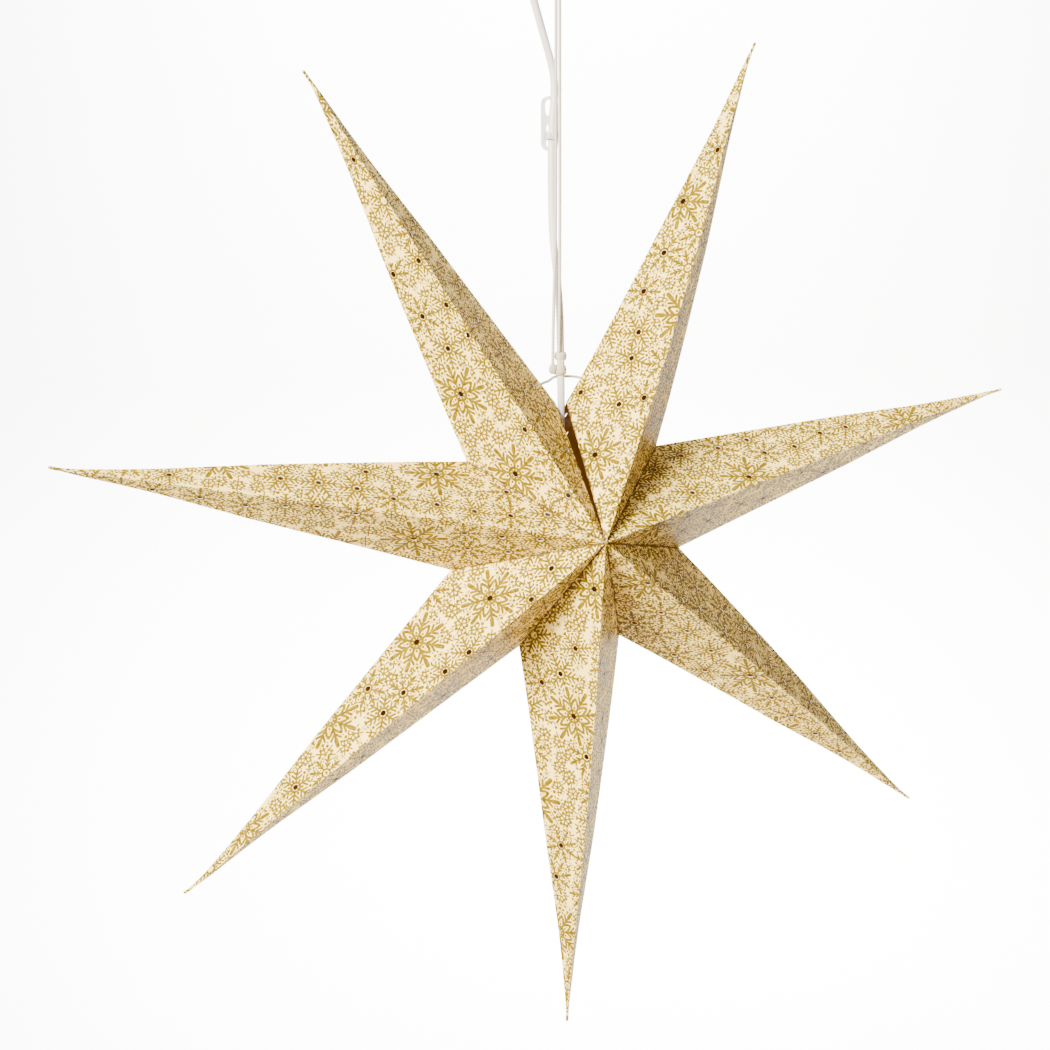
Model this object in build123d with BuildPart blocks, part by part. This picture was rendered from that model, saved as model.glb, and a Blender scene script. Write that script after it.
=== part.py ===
from build123d import *

import math
import os

# A hanging paper star: seven folded card points, open along a slot between the two upper ones, hung by
# a doubled string round the lead of a small screw lamp. The front faces -Y. The origin is where the
# string's top loop rests on its hook. All sizes are in millimetres.

# Star
POINTS = 7
TIP_RADIUS = 360.0  # star centre to a tip
VALLEY_RADIUS = 87.5  # star centre to the inner corner between two points
HALF_DEPTH = 75.0  # middle plane to the front or back apex
TIP_SETBACK = 15.0  # how far the tips lean behind the middle plane
SLOT_ANGLE = 5.0  # opening between the two upper points
SLOT_LEAN = 2.2  # the slot leans to the left by this angle
CARD = 0.5  # thickness of the folded card
FLAP_WIDTH = 8.0  # glue flaps along the seams
STAR_DROP = 500.0  # hook to star centre

# Cords
LEAD_DIAMETER = 5.2
STRING_DIAMETER = 2.2
TIE_DIAMETER = 1.6
CORE_DIAMETER = 1.8
LAMP_AXIS_X = 2.5  # the lamp hangs this far to the right of the hook
RUNNING_CLEARANCE = 0.3  # between pieces of different bodies

# String loop and knots
HOOK_DIAMETER = 6.0
LOOP_KNOT_DROP = 26.0  # hook to the centre of the loop's knot
LOOP_KNOT_DIAMETER = 8.0
LOOP_BIGHT_FLAT = 0.04  # straight bit between the two bends over the hook
LOOP_NECK = 3.2  # the loop's two legs at the knot, centre to centre
STRAND_SPACING = 2.6  # the two strands at the knot, centre to centre
RING_KNOT_TOP = 122.5  # above the star centre
RING_KNOT_HEIGHT = 6.0
RING_KNOT_DIAMETER = 8.8
MAIN_KNOT_TOP = 113.5
MAIN_KNOT_HEIGHT = 7.0
MAIN_KNOT_DIAMETER = 8.4
MAIN_KNOT_LOBE = 7.2  # diameter of the knot's left lobe
MAIN_KNOT_LOBE_X = -3.6
MAIN_KNOT_LOBE_Y = -1.0
MAIN_KNOT_ROUND = 1.4
STRAND_OFF_LEAD = 0.1  # gap between the right strand's foot and the lead
STRAND_FOOT_SHIFT = 0.4  # the left strand's foot stands this far left of the lobe's middle
LEAD_STRAIGHT_ABOVE_KNOT = 15.0
STOP_KNOT_DIAMETER = 5.0
TIE_REACH_LEFT = 17.0  # from the valley up the crease to the left tie hole
TIE_REACH_RIGHT = 20.0
TIE_WRAP_HALF = 4.5  # half length of the tie's stretch behind the lead

# Lampholder, heights above the star centre
HOLDER_TOP = 58.0
NECK_DIAMETER = 12.0
NECK_HEIGHT = 8.0
CAP_HEIGHT = 14.0
HOLDER_DIAMETER = 28.0
HOLDER_WALL = 2.0
CAP_LAP = 4.0
SHELL_LENGTH = 34.0
BLOCK_HEIGHT = 10.0
SKIRT_BORE = 19.0
SLEEVE_BORE = 14.4
SLEEVE_WALL = 0.5
SLEEVE_LENGTH = 18.0
TERMINAL_SPACING = 11.0
TERMINAL_DIAMETER = 4.0
TERMINAL_HEIGHT = 3.0
GRIP_DIAMETER = 9.6
GRIP_HEIGHT = 5.0
LEAF_WIDTH = 4.0
LEAF_LENGTH = 9.0
LEAF_THICKNESS = 0.5

# Bulb
BULB_DIAMETER = 45.0
BULB_CAP_DIAMETER = 13.8
BULB_CAP_WALL = 0.4
BULB_CAP_LENGTH = 16.0
BULB_NECK_GRIP = 6.0
BULB_INSULATOR_HEIGHT = 2.0
BULB_TIP_DIAMETER = 5.0
BULB_TIP_HEIGHT = 1.2
BULB_SHOULDER = 14.0  # cap to the start of the round glass
BULB_GLASS_WALL = 0.8
BULB_GLOBE_START = 40.0  # angle from the globe's top where the neck runs into it
STEM_DIAMETER = 4.0
STEM_LENGTH = 34.0
STEM_FLANGE_DIAMETER = 11.0
STEM_FLANGE_HEIGHT = 2.0
FILAMENTS = 4
FILAMENT_DIAMETER = 1.6

# Hanger clip on the lead
CLIP_WIDTH = 12.0
CLIP_HEIGHT = 37.0
CLIP_THICKNESS = 2.0
CLIP_CENTRE = 277.0  # above the star centre
CLIP_CORNER = 5.5
EYE_WIDTH = 6.6
EYE_HEIGHT = 11.0
EYE_RIM = 2.4
CLIP_HOLE_DIAMETER = 5.4
CLIP_HOLE_SPACING = 10.2
BRIDGE_HEIGHT = 4.4
BRIDGE_WALL = 1.5
BRIDGE_DROP = 8.3  # clip centre down to the bridge

# Lead coil and plug
COIL_INNER_RADIUS = 21.0
COIL_PITCH = 6.4
COIL_LAYERS = 4
COIL_TURNS_A_LAYER = 3.25
COIL_FRONT = 4.0  # the front layer's distance behind the string
TIE_STRAP_WIDTH = 7.0
TIE_STRAP_THICKNESS = 1.0
TAIL_LENGTH = 24.0
PLUG_NECK_DIAMETER = 9.6  # the strain relief at the plug's body
PLUG_NECK_TIP = 7.0  # and at its end on the lead
PLUG_NECK_LENGTH = 22.0
PLUG_WIDTH = 35.0
PLUG_SHOULDER = 14.0
PLUG_THICKNESS = 13.7
PLUG_LENGTH = 37.0
PLUG_ROUND = 4.0
PLUG_NECK_ROOT = 1.0  # the neck goes this far into the body
PIN_DIAMETER = 4.0
PIN_LENGTH = 19.0
PIN_SPACING = 18.6
PIN_ROUND = 1.2

# Values worked out from the sizes above
HALF_STEP = (360.0 - SLOT_ANGLE) / POINTS / 2
VALLEY_OUT = VALLEY_RADIUS * math.cos(math.radians(HALF_STEP))
VALLEY_ASIDE = VALLEY_RADIUS * math.sin(math.radians(HALF_STEP))
CREASE_SHARE = VALLEY_OUT / (TIP_RADIUS - VALLEY_OUT)
CREASE_ASIDE = VALLEY_ASIDE * (1 + CREASE_SHARE)
CREASE_BACK = -TIP_SETBACK * CREASE_SHARE
LEAD_RADIUS = LEAD_DIAMETER / 2
STRING_RADIUS = STRING_DIAMETER / 2
TIE_RADIUS = TIE_DIAMETER / 2
FLAP_DEPTH = FLAP_WIDTH * math.hypot(VALLEY_RADIUS, HALF_DEPTH) / HALF_DEPTH
SLOT_MIDDLE = VALLEY_RADIUS - FLAP_DEPTH / 2
CENTRE = Vector(LAMP_AXIS_X + SLOT_MIDDLE * math.sin(math.radians(SLOT_LEAN)), 0, -STAR_DROP)
LAMP = Vector(LAMP_AXIS_X, 0, -STAR_DROP)
KNOT = Vector(0, 0, -LOOP_KNOT_DROP)

os.makedirs("parts", exist_ok=True)


def keep(piece, name):
    """Label a finished piece and write it under its name."""
    piece.part.label = name
    export_step(piece.part, f"parts/{name}.step")


def corner_radii(points, least):
    """The largest easy radius at each corner of a cord's route."""
    radii = []
    for before, corner, after in zip(points, points[1:], points[2:]):
        into = Vector(corner) - Vector(before)
        out = Vector(after) - Vector(corner)
        half_turn = math.radians(into.get_angle(out)) / 2
        radii.append(0.45 * min(into.length, out.length) / math.tan(half_turn))
    if radii and min(radii) < least:
        print("  tight corner:", round(min(radii), 1), "under", least)
    return radii


def cord(points, diameter, least_radius):
    """A cord along straight runs joined by tangent arcs."""
    with BuildPart() as tube:
        with BuildLine() as route:
            if len(points) > 2:
                FilletPolyline(*points, radius=corner_radii(points, least_radius))
            else:
                Line(*points)
        with BuildSketch(route.line ^ 0):
            Circle(diameter / 2)
        sweep()
    return tube, route.wire()


def report_cord(name, tube, line, diameter):
    """Print how a cord's volume compares with its section times its length."""
    wanted = math.pi * diameter**2 / 4 * line.length
    bends = [round(e.radius, 1) for e in line.edges().filter_by(GeomType.CIRCLE)]
    share = round(tube.part.volume / wanted, 4)
    print(name, "length", round(line.length, 1), "radii", bends, "volume share", share)


# Star points
def point_axes(number):
    """Directions outward along a point and aside from it, clockwise from the slot."""
    angle = math.radians(SLOT_ANGLE / 2 - SLOT_LEAN + HALF_STEP * (2 * number - 1))
    outward = Vector(math.sin(angle), 0, math.cos(angle))
    aside = Vector(math.cos(angle), 0, -math.sin(angle))
    return outward, aside


def facet_shift():
    """The move, back and outward, that brings a point's four facets inward by the card's thickness."""
    tip = Vector(0, TIP_SETBACK, TIP_RADIUS)
    side = Vector(CREASE_ASIDE, CREASE_BACK, 0)
    front = (side - tip).cross(Vector(0, -HALF_DEPTH, 0) - tip).normalized()
    back = (Vector(0, HALF_DEPTH, 0) - tip).cross(side - tip).normalized()
    front = front if front.X > 0 else -front
    back = back if back.X > 0 else -back
    whole = front.Y * back.Z - front.Z * back.Y
    return (-CARD * (back.Z - front.Z) / whole, -CARD * (front.Y - back.Y) / whole)


def pyramid(base, tip_back, mode):
    """A four-sided pyramid on the kite between the two apexes and the two creases."""
    with BuildSketch(base) as kite:
        with BuildLine():
            Polyline(
                (0, -HALF_DEPTH),
                (CREASE_ASIDE, CREASE_BACK),
                (0, HALF_DEPTH),
                (-CREASE_ASIDE, CREASE_BACK),
                close=True,
            )
        make_face()
    tip = base.from_local_coords(Vector(0, tip_back, TIP_RADIUS))
    loft(sections=[kite.sketch.face(), Vertex(tip.X, tip.Y, tip.Z)], ruled=True, mode=mode)


def wedge_normals(outward, aside):
    """Inward normals of the two planes that part a point from its neighbours."""
    half = math.radians(HALF_STEP)
    return [outward * math.sin(half) + aside * (side * math.cos(half)) for side in (1, -1)]


def tie_hole(number):
    """Where the tie passes a crease beside the slot, and the way from there towards the lead."""
    outward, aside = point_axes(number)
    side = -1 if number == 1 else 1
    reach = TIE_REACH_RIGHT if number == 1 else TIE_REACH_LEFT
    valley = CENTRE + outward * VALLEY_OUT + aside * (side * VALLEY_ASIDE)
    tip = CENTRE + outward * TIP_RADIUS + Vector(0, TIP_SETBACK, 0)
    return valley + (tip - valley).normalized() * reach, aside * side


def star_point(number):
    """One folded point: four facets, and glue flaps on the sides that meet a neighbour."""
    outward, aside = point_axes(number)
    slot_side = {1: 0, POINTS: 1}.get(number)
    base = Plane(origin=CENTRE, x_dir=aside, z_dir=outward)
    shift_back, shift_out = facet_shift()
    inner_base = base.offset(shift_out)
    inner_base.origin = inner_base.origin + Vector(0, shift_back, 0)
    normals = wedge_normals(outward, aside)
    with BuildPart() as hollow:
        pyramid(inner_base, TIP_SETBACK, Mode.ADD)
        for side, normal in enumerate(normals):
            wall = -CARD if side == slot_side else CARD
            split(bisect_by=Plane(origin=CENTRE + normal * wall, z_dir=normal), keep=Keep.TOP)
    with BuildPart() as point:
        pyramid(base, TIP_SETBACK, Mode.ADD)
        for normal in normals:
            split(bisect_by=Plane(origin=CENTRE, z_dir=normal), keep=Keep.TOP)
        add(hollow.part, mode=Mode.SUBTRACT)
        for side, normal in enumerate(normals):
            if side == slot_side:
                continue
            seam = Plane(origin=CENTRE, x_dir=normal.cross(Vector(0, -1, 0)), z_dir=normal)
            away = 1 if seam.x_dir.dot(outward) > 0 else -1
            inner_corner = VALLEY_RADIUS - FLAP_DEPTH
            past_axis = inner_corner + FLAP_WIDTH
            reach = HALF_DEPTH / VALLEY_RADIUS * past_axis
            with BuildSketch(seam):
                with BuildLine():
                    Polyline(
                        (away * inner_corner, 0),
                        (-away * FLAP_WIDTH, reach),
                        (-away * FLAP_WIDTH, -reach),
                        close=True,
                    )
                make_face()
            extrude(amount=2 * CARD, both=True, mode=Mode.SUBTRACT)
        if number in (1, POINTS):
            hole, towards = tie_hole(number)
            with BuildSketch(Plane(origin=hole, z_dir=towards)):
                Circle(TIE_RADIUS + RUNNING_CLEARANCE)
            extrude(amount=STOP_KNOT_DIAMETER, both=True, mode=Mode.SUBTRACT)
    return point


for number in range(1, POINTS + 1):
    keep(star_point(number), f"star_point_{number}")

# Tie string across the slot, behind the lead, with a stop knot inside each of the two points
tie_height = CENTRE.Z + MAIN_KNOT_TOP - MAIN_KNOT_HEIGHT - RUNNING_CLEARANCE - TIE_RADIUS
tie_back = LEAD_RADIUS + RUNNING_CLEARANCE + TIE_RADIUS
right_hole, towards_right = tie_hole(1)
left_hole, towards_left = tie_hole(POINTS)
crease_half = math.atan2(HALF_DEPTH, CREASE_ASIDE)
stop_depth = (STOP_KNOT_DIAMETER / 2 + CARD) / math.sin(crease_half) + RUNNING_CLEARANCE
right_stop = right_hole - towards_right * stop_depth
left_stop = left_hole - towards_left * stop_depth
tie_route = [
    left_stop + towards_left * (STOP_KNOT_DIAMETER / 2),
    left_hole + towards_left * TIE_DIAMETER,
    Vector(LAMP_AXIS_X - TIE_WRAP_HALF, tie_back, tie_height),
    Vector(LAMP_AXIS_X + TIE_WRAP_HALF, tie_back, tie_height),
    right_hole + towards_right * TIE_DIAMETER,
    right_stop + towards_right * (STOP_KNOT_DIAMETER / 2),
]
tie_string, tie_line = cord(tie_route, TIE_DIAMETER, 3 * TIE_DIAMETER)
report_cord("tie_string", tie_string, tie_line, TIE_DIAMETER)
keep(tie_string, "tie_string")

for side, stop in (("left", left_stop), ("right", right_stop)):
    with BuildPart() as stop_knot:
        with Locations(stop):
            Sphere(STOP_KNOT_DIAMETER / 2)
    keep(stop_knot, f"stop_knot_{side}")

# Hanging string: the loop over the hook, its knot, and the two strands down to the knots round the lead
loop_half = HOOK_DIAMETER / 2 + STRING_RADIUS
loop_waist = -LOOP_KNOT_DROP / 2
loop_route = [
    Vector(-LOOP_NECK / 2, 0, -LOOP_KNOT_DROP),
    Vector(-loop_half, 0, loop_waist),
    Vector(-loop_half, 0, STRING_RADIUS),
    Vector(loop_half, 0, STRING_RADIUS),
    Vector(loop_half, 0, loop_waist),
    Vector(LOOP_NECK / 2, 0, -LOOP_KNOT_DROP),
]
loop_radii = corner_radii(loop_route, 0)
loop_radii[1] = loop_radii[2] = loop_half - LOOP_BIGHT_FLAT / 2
with BuildPart() as hanging_loop:
    with BuildLine() as loop_line:
        FilletPolyline(*loop_route, radius=loop_radii)
    with BuildSketch(loop_line.line ^ 0):
        Circle(STRING_RADIUS)
    sweep()
    with Locations(KNOT):
        Sphere(LOOP_KNOT_DIAMETER / 2, mode=Mode.SUBTRACT)
keep(hanging_loop, "hanging_loop")

with BuildPart() as loop_knot:
    with Locations(KNOT):
        Sphere(LOOP_KNOT_DIAMETER / 2)
keep(loop_knot, "loop_knot")

ring_top = CENTRE.Z + RING_KNOT_TOP
main_top = CENTRE.Z + MAIN_KNOT_TOP
strand_out = LEAD_RADIUS + STRING_RADIUS + STRAND_OFF_LEAD
left_strand_route = [
    Vector(-STRAND_SPACING / 2, 0, -LOOP_KNOT_DROP),
    Vector(-1.9, -2.6, -290.0),
    Vector(-4.4, -2.8, -350.0),
    Vector(MAIN_KNOT_LOBE_X - STRAND_FOOT_SHIFT, MAIN_KNOT_LOBE_Y, main_top),
]
right_strand_route = [
    Vector(STRAND_SPACING / 2, 0, -LOOP_KNOT_DROP),
    Vector(0.7, -2.8, -290.0),
    Vector(-0.4, -3.8, -350.0),
    Vector(LAMP_AXIS_X - strand_out / math.sqrt(2), -strand_out / math.sqrt(2), ring_top),
]
for side, route in (("left", left_strand_route), ("right", right_strand_route)):
    strand_tube, strand_line = cord(route, STRING_DIAMETER, 5 * STRING_DIAMETER)
    with BuildPart() as strand:
        add(strand_tube.part)
        with Locations(KNOT):
            Sphere(LOOP_KNOT_DIAMETER / 2 + RUNNING_CLEARANCE, mode=Mode.SUBTRACT)
        split(bisect_by=Plane(origin=route[-1], z_dir=(0, 0, 1)), keep=Keep.TOP)
    report_cord(f"string_strand_{side}", strand_tube, strand_line, STRING_DIAMETER)
    keep(strand, f"string_strand_{side}")

with BuildPart() as ring_knot:
    with BuildSketch(Plane(origin=(LAMP_AXIS_X, 0, ring_top))):
        Circle(RING_KNOT_DIAMETER / 2)
        Circle(LEAD_RADIUS, mode=Mode.SUBTRACT)
    extrude(amount=-RING_KNOT_HEIGHT)
keep(ring_knot, "ring_knot")

with BuildPart() as main_knot:
    with BuildSketch(Plane(origin=(LAMP_AXIS_X, 0, main_top))):
        Circle(MAIN_KNOT_DIAMETER / 2)
        with Locations((MAIN_KNOT_LOBE_X - LAMP_AXIS_X, MAIN_KNOT_LOBE_Y)):
            Circle(MAIN_KNOT_LOBE / 2)
        make_hull()
    extrude(amount=-MAIN_KNOT_HEIGHT)
    fillet(main_knot.edges().group_by(Axis.Z)[0] + main_knot.edges().group_by(Axis.Z)[-1], MAIN_KNOT_ROUND)
    with BuildSketch(Plane(origin=(LAMP_AXIS_X, 0, main_top))):
        Circle(LEAD_RADIUS)
    extrude(amount=-MAIN_KNOT_HEIGHT, mode=Mode.SUBTRACT)
keep(main_knot, "main_knot")

# Lead from the lampholder through the knots and the clip to its coil
grip_top = LAMP.Z + HOLDER_TOP - NECK_HEIGHT
lead_start = grip_top - GRIP_HEIGHT - LEAD_RADIUS
clip_line = Vector(-3.0, 4.0, CENTRE.Z + CLIP_CENTRE)
coil_outer = COIL_INNER_RADIUS + COIL_PITCH * COIL_TURNS_A_LAYER
coil_centre = Vector(0, COIL_FRONT, LEAD_RADIUS - COIL_INNER_RADIUS)
coil_start = coil_centre + Vector(-coil_outer, 0, 0)
lead_route = [
    Vector(LAMP_AXIS_X, 0, lead_start),
    Vector(LAMP_AXIS_X, 0, ring_top + LEAD_STRAIGHT_ABOVE_KNOT),
    Vector(0.6, 2.4, -326.0),
    Vector(clip_line.X, clip_line.Y, -294.0),
    Vector(clip_line.X, clip_line.Y, -200.0),
    Vector(-4.8, 4.0, -178.0),
    Vector(-10.6, 4.0, -158.0),
    Vector(-18.0, 4.0, -133.0),
    Vector(-28.5, 4.0, -104.0),
    Vector(-37.5, 4.0, -75.0),
    Vector(coil_start.X, coil_start.Y, -47.0),
    coil_start + Vector(0, 0, -LEAD_DIAMETER),
]
lead, lead_line = cord(lead_route, LEAD_DIAMETER, 5 * LEAD_DIAMETER)
report_cord("lead", lead, lead_line, LEAD_DIAMETER)
keep(lead, "lead")


# Coil of the rest of the lead, hung over the same hook
def coil_stations():
    """Points, with the way the lead runs, at each quarter turn of the coil."""
    quarter_drop = COIL_PITCH / 4
    quarters = round(COIL_TURNS_A_LAYER * 4)
    radius, angle, depth = coil_outer, 180.0, 0.0
    stations = []

    def station(turn_rate, climb_rate):
        cos, sin = math.cos(math.radians(angle)), math.sin(math.radians(angle))
        place = coil_centre + Vector(radius * cos, depth, radius * sin)
        way = Vector(sin * radius + turn_rate * cos, climb_rate, turn_rate * sin - cos * radius)
        stations.append((place, way.normalized()))

    for layer in range(COIL_LAYERS):
        inward = -1 if layer % 2 == 0 else 1
        rate = inward * COIL_PITCH / (2 * math.pi)
        for quarter in range(quarters + 1):
            station(0 if quarter in (0, quarters) else rate, 0)
            if quarter < quarters:
                radius += inward * quarter_drop
                angle -= 90
        if layer < COIL_LAYERS - 1:
            angle -= 90
            depth += COIL_PITCH / 2
            station(0, COIL_PITCH / math.pi)
            angle -= 90
            depth += COIL_PITCH / 2
    return stations


def biarc_joint(place, way, next_place, next_way):
    """Where the two arcs meet that join two places along their ways."""
    gap = place - next_place
    a = 2 * (way.dot(next_way) - 1)
    b = 2 * gap.dot(way + next_way)
    c = gap.dot(gap)
    reach = (-b - math.sqrt(b * b - 4 * a * c)) / (2 * a)
    return (place + next_place + (way - next_way) * reach) / 2


stations = coil_stations()
coil_end = stations[-1][0]
with BuildPart() as lead_coil:
    with BuildLine() as coil_line:
        Line(coil_start + Vector(0, 0, -LEAD_DIAMETER), coil_start)
        for (place, way), (next_place, next_way) in zip(stations, stations[1:]):
            joint = biarc_joint(place, way, next_place, next_way)
            first_arc = TangentArc(place, joint, tangent=way)
            TangentArc(joint, next_place, tangent=first_arc % 1)
        Line(coil_end, coil_end + Vector(0, 0, -LEAD_DIAMETER))
    with BuildSketch(coil_line.line ^ 0):
        Circle(LEAD_RADIUS)
    sweep()
report_cord("lead_coil", lead_coil, coil_line.wire(), LEAD_DIAMETER)
keep(lead_coil, "lead_coil")


def least_gap(line, diameter, step):
    """The least gap between stretches of one cord that lie further apart along it than they could touch."""
    count = int(line.length / step)
    places = [line.position_at(i / count) for i in range(count + 1)]
    skip = int(4 * diameter / step)
    least = line.length
    for i, place in enumerate(places):
        for other in places[i + skip :]:
            least = min(least, (place - other).length)
    return least - diameter


print("coil gap to itself", round(least_gap(coil_line.wire(), LEAD_DIAMETER, 4.0), 2))

# Strap round the coil's right side
coil_back = coil_end.Y + LEAD_RADIUS
coil_hole = COIL_INNER_RADIUS - LEAD_RADIUS
strap_inner_x = math.sqrt(coil_hole**2 - (TIE_STRAP_WIDTH / 2) ** 2) - RUNNING_CLEARANCE
strap_outer_x = coil_outer + LEAD_RADIUS + RUNNING_CLEARANCE
strap_room_x = strap_outer_x - strap_inner_x
both_walls = 2 * TIE_STRAP_THICKNESS
strap_room_y = coil_back - coil_start.Y + LEAD_RADIUS + 2 * RUNNING_CLEARANCE
strap_middle = Vector(
    coil_centre.X + (strap_inner_x + strap_outer_x) / 2,
    (coil_start.Y + coil_end.Y) / 2,
    coil_centre.Z,
)
with BuildPart() as coil_strap:
    with BuildSketch(Plane(origin=strap_middle - Vector(0, 0, TIE_STRAP_WIDTH / 2))):
        RectangleRounded(strap_room_x + both_walls, strap_room_y + both_walls, LEAD_RADIUS)
        RectangleRounded(strap_room_x, strap_room_y, LEAD_RADIUS - TIE_STRAP_THICKNESS, mode=Mode.SUBTRACT)
    extrude(amount=TIE_STRAP_WIDTH)
keep(coil_strap, "coil_strap")

# Tail of the lead and the plug, hanging at the coil's right side
tail_top = coil_end + Vector(0, 0, -LEAD_DIAMETER)
plug_top = tail_top + Vector(0, 0, -TAIL_LENGTH)
lead_tail, tail_line = cord([tail_top, plug_top], LEAD_DIAMETER, 0)
report_cord("lead_tail", lead_tail, tail_line, LEAD_DIAMETER)
keep(lead_tail, "lead_tail")

body_top = -PLUG_NECK_LENGTH
with BuildPart() as plug_body:
    with BuildSketch(Plane(origin=plug_top, z_dir=(0, -1, 0), x_dir=(1, 0, 0))):
        with BuildLine():
            Polyline(
                (-PLUG_NECK_DIAMETER / 2, body_top),
                (PLUG_NECK_DIAMETER / 2, body_top),
                (PLUG_WIDTH / 2, body_top - PLUG_SHOULDER),
                (PLUG_WIDTH / 2, body_top - PLUG_LENGTH),
                (-PLUG_WIDTH / 2, body_top - PLUG_LENGTH),
                (-PLUG_WIDTH / 2, body_top - PLUG_SHOULDER),
                close=True,
            )
        make_face()
    extrude(amount=PLUG_THICKNESS / 2, both=True)
    fillet(plug_body.edges().filter_by(Axis.Y).group_by(Axis.Z)[1], PLUG_ROUND)
    with Locations(plug_top + Vector(0, 0, -(PLUG_NECK_LENGTH + PLUG_NECK_ROOT) / 2)):
        Cone(PLUG_NECK_DIAMETER / 2, PLUG_NECK_TIP / 2, PLUG_NECK_LENGTH + PLUG_NECK_ROOT)
keep(plug_body, "plug_body")

pin_face = plug_top + Vector(0, 0, body_top - PLUG_LENGTH)
with BuildPart() as plug_pins:
    with BuildSketch(Plane(origin=pin_face)):
        with GridLocations(PIN_SPACING, 0, 2, 1):
            Circle(PIN_DIAMETER / 2)
    extrude(amount=-PIN_LENGTH)
    fillet(plug_pins.edges().filter_by(GeomType.CIRCLE).group_by(Axis.Z)[0], PIN_ROUND)
keep(plug_pins, "plug_pins")

# Hanger clip: a plate behind the lead with an eye at its top and a bridge in front of the lead
plate_front = clip_line.Y + LEAD_RADIUS + RUNNING_CLEARANCE
bridge_front = clip_line.Y - LEAD_RADIUS - RUNNING_CLEARANCE
bridge_inner = LEAD_DIAMETER + 2 * RUNNING_CLEARANCE
clip_plane = Plane(origin=(clip_line.X, plate_front, clip_line.Z), x_dir=(1, 0, 0), z_dir=(0, -1, 0))
eye_middle = CLIP_HEIGHT / 2 - EYE_RIM - EYE_HEIGHT / 2
bridge_bottom = clip_line.Z - BRIDGE_DROP - BRIDGE_HEIGHT / 2
with BuildPart() as hanger_clip:
    with BuildSketch(clip_plane):
        RectangleRounded(CLIP_WIDTH, CLIP_HEIGHT, CLIP_CORNER)
        with Locations((0, eye_middle)):
            SlotOverall(EYE_HEIGHT, EYE_WIDTH, rotation=90, mode=Mode.SUBTRACT)
        with Locations((0, -BRIDGE_DROP)):
            with GridLocations(0, CLIP_HOLE_SPACING, 1, 2):
                Circle(CLIP_HOLE_DIAMETER / 2, mode=Mode.SUBTRACT)
    extrude(amount=-CLIP_THICKNESS)
    with BuildSketch(Plane(origin=(clip_line.X, plate_front, bridge_bottom))):
        with Locations((0, (bridge_front - BRIDGE_WALL - plate_front) / 2)):
            Rectangle(bridge_inner + 2 * BRIDGE_WALL, plate_front - bridge_front + BRIDGE_WALL)
        with Locations((0, (bridge_front - plate_front) / 2)):
            Rectangle(bridge_inner, plate_front - bridge_front, mode=Mode.SUBTRACT)
    extrude(amount=BRIDGE_HEIGHT)
keep(hanger_clip, "hanger_clip")

# Lampholder, turned about the lamp's axis; heights run down from the top of the cap's neck
holder_plane = Plane(origin=LAMP, x_dir=(1, 0, 0), z_dir=(0, -1, 0))
holder_radius = HOLDER_DIAMETER / 2
cap_rim = HOLDER_TOP - NECK_HEIGHT - CAP_HEIGHT
shell_bottom = cap_rim - SHELL_LENGTH
block_top = cap_rim
block_bottom = block_top - BLOCK_HEIGHT
shell_bore = holder_radius - HOLDER_WALL
sleeve_outer = SLEEVE_BORE / 2 + SLEEVE_WALL


def turned(profile):
    """A piece turned about the lamp's axis from its half profile of (radius, height) points."""
    with BuildPart() as piece:
        with BuildSketch(holder_plane):
            with BuildLine():
                Polyline(*profile, close=True)
            make_face()
        revolve(axis=Axis(LAMP, (0, 0, 1)))
    return piece


neck_radius = NECK_DIAMETER / 2
neck_bore = LEAD_RADIUS + RUNNING_CLEARANCE
grip_radius = GRIP_DIAMETER / 2
neck_bottom = HOLDER_TOP - NECK_HEIGHT
holder_cap = turned(
    [
        (neck_bore, HOLDER_TOP),
        (neck_radius, HOLDER_TOP),
        (neck_radius, neck_bottom + HOLDER_WALL),
        (holder_radius, cap_rim + CAP_LAP),
        (holder_radius, cap_rim),
        (shell_bore, cap_rim),
        (shell_bore, cap_rim + CAP_LAP),
        (grip_radius, neck_bottom),
        (neck_bore, neck_bottom),
    ]
)
keep(holder_cap, "holder_cap")

holder_shell = turned(
    [
        (shell_bore, cap_rim),
        (holder_radius, cap_rim),
        (holder_radius, shell_bottom),
        (SKIRT_BORE / 2, shell_bottom),
        (SKIRT_BORE / 2, block_bottom),
        (shell_bore, block_bottom),
    ]
)
keep(holder_shell, "holder_shell")

with BuildPart() as contact_block:
    with BuildSketch(Plane(origin=LAMP + Vector(0, 0, block_top))):
        Circle(shell_bore)
    extrude(amount=-BLOCK_HEIGHT)
keep(contact_block, "contact_block")

screw_sleeve = turned(
    [
        (SLEEVE_BORE / 2, block_bottom),
        (sleeve_outer, block_bottom),
        (sleeve_outer, block_bottom - SLEEVE_LENGTH),
        (SLEEVE_BORE / 2, block_bottom - SLEEVE_LENGTH),
    ]
)
keep(screw_sleeve, "screw_sleeve")

with BuildPart() as centre_contact:
    with BuildSketch(Plane(origin=LAMP + Vector(0, 0, block_bottom))):
        Rectangle(LEAF_LENGTH, LEAF_WIDTH)
    extrude(amount=-LEAF_THICKNESS)
    with BuildSketch(Plane(origin=LAMP + Vector(0, 0, block_bottom - LEAF_THICKNESS))):
        Circle(LEAF_WIDTH / 2)
    extrude(amount=-LEAF_THICKNESS)
keep(centre_contact, "centre_contact")

with BuildPart() as terminal_screws:
    with BuildSketch(Plane(origin=LAMP + Vector(0, 0, block_top))):
        with GridLocations(TERMINAL_SPACING, 0, 2, 1):
            Circle(TERMINAL_DIAMETER / 2)
    extrude(amount=TERMINAL_HEIGHT)
keep(terminal_screws, "terminal_screws")

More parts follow.
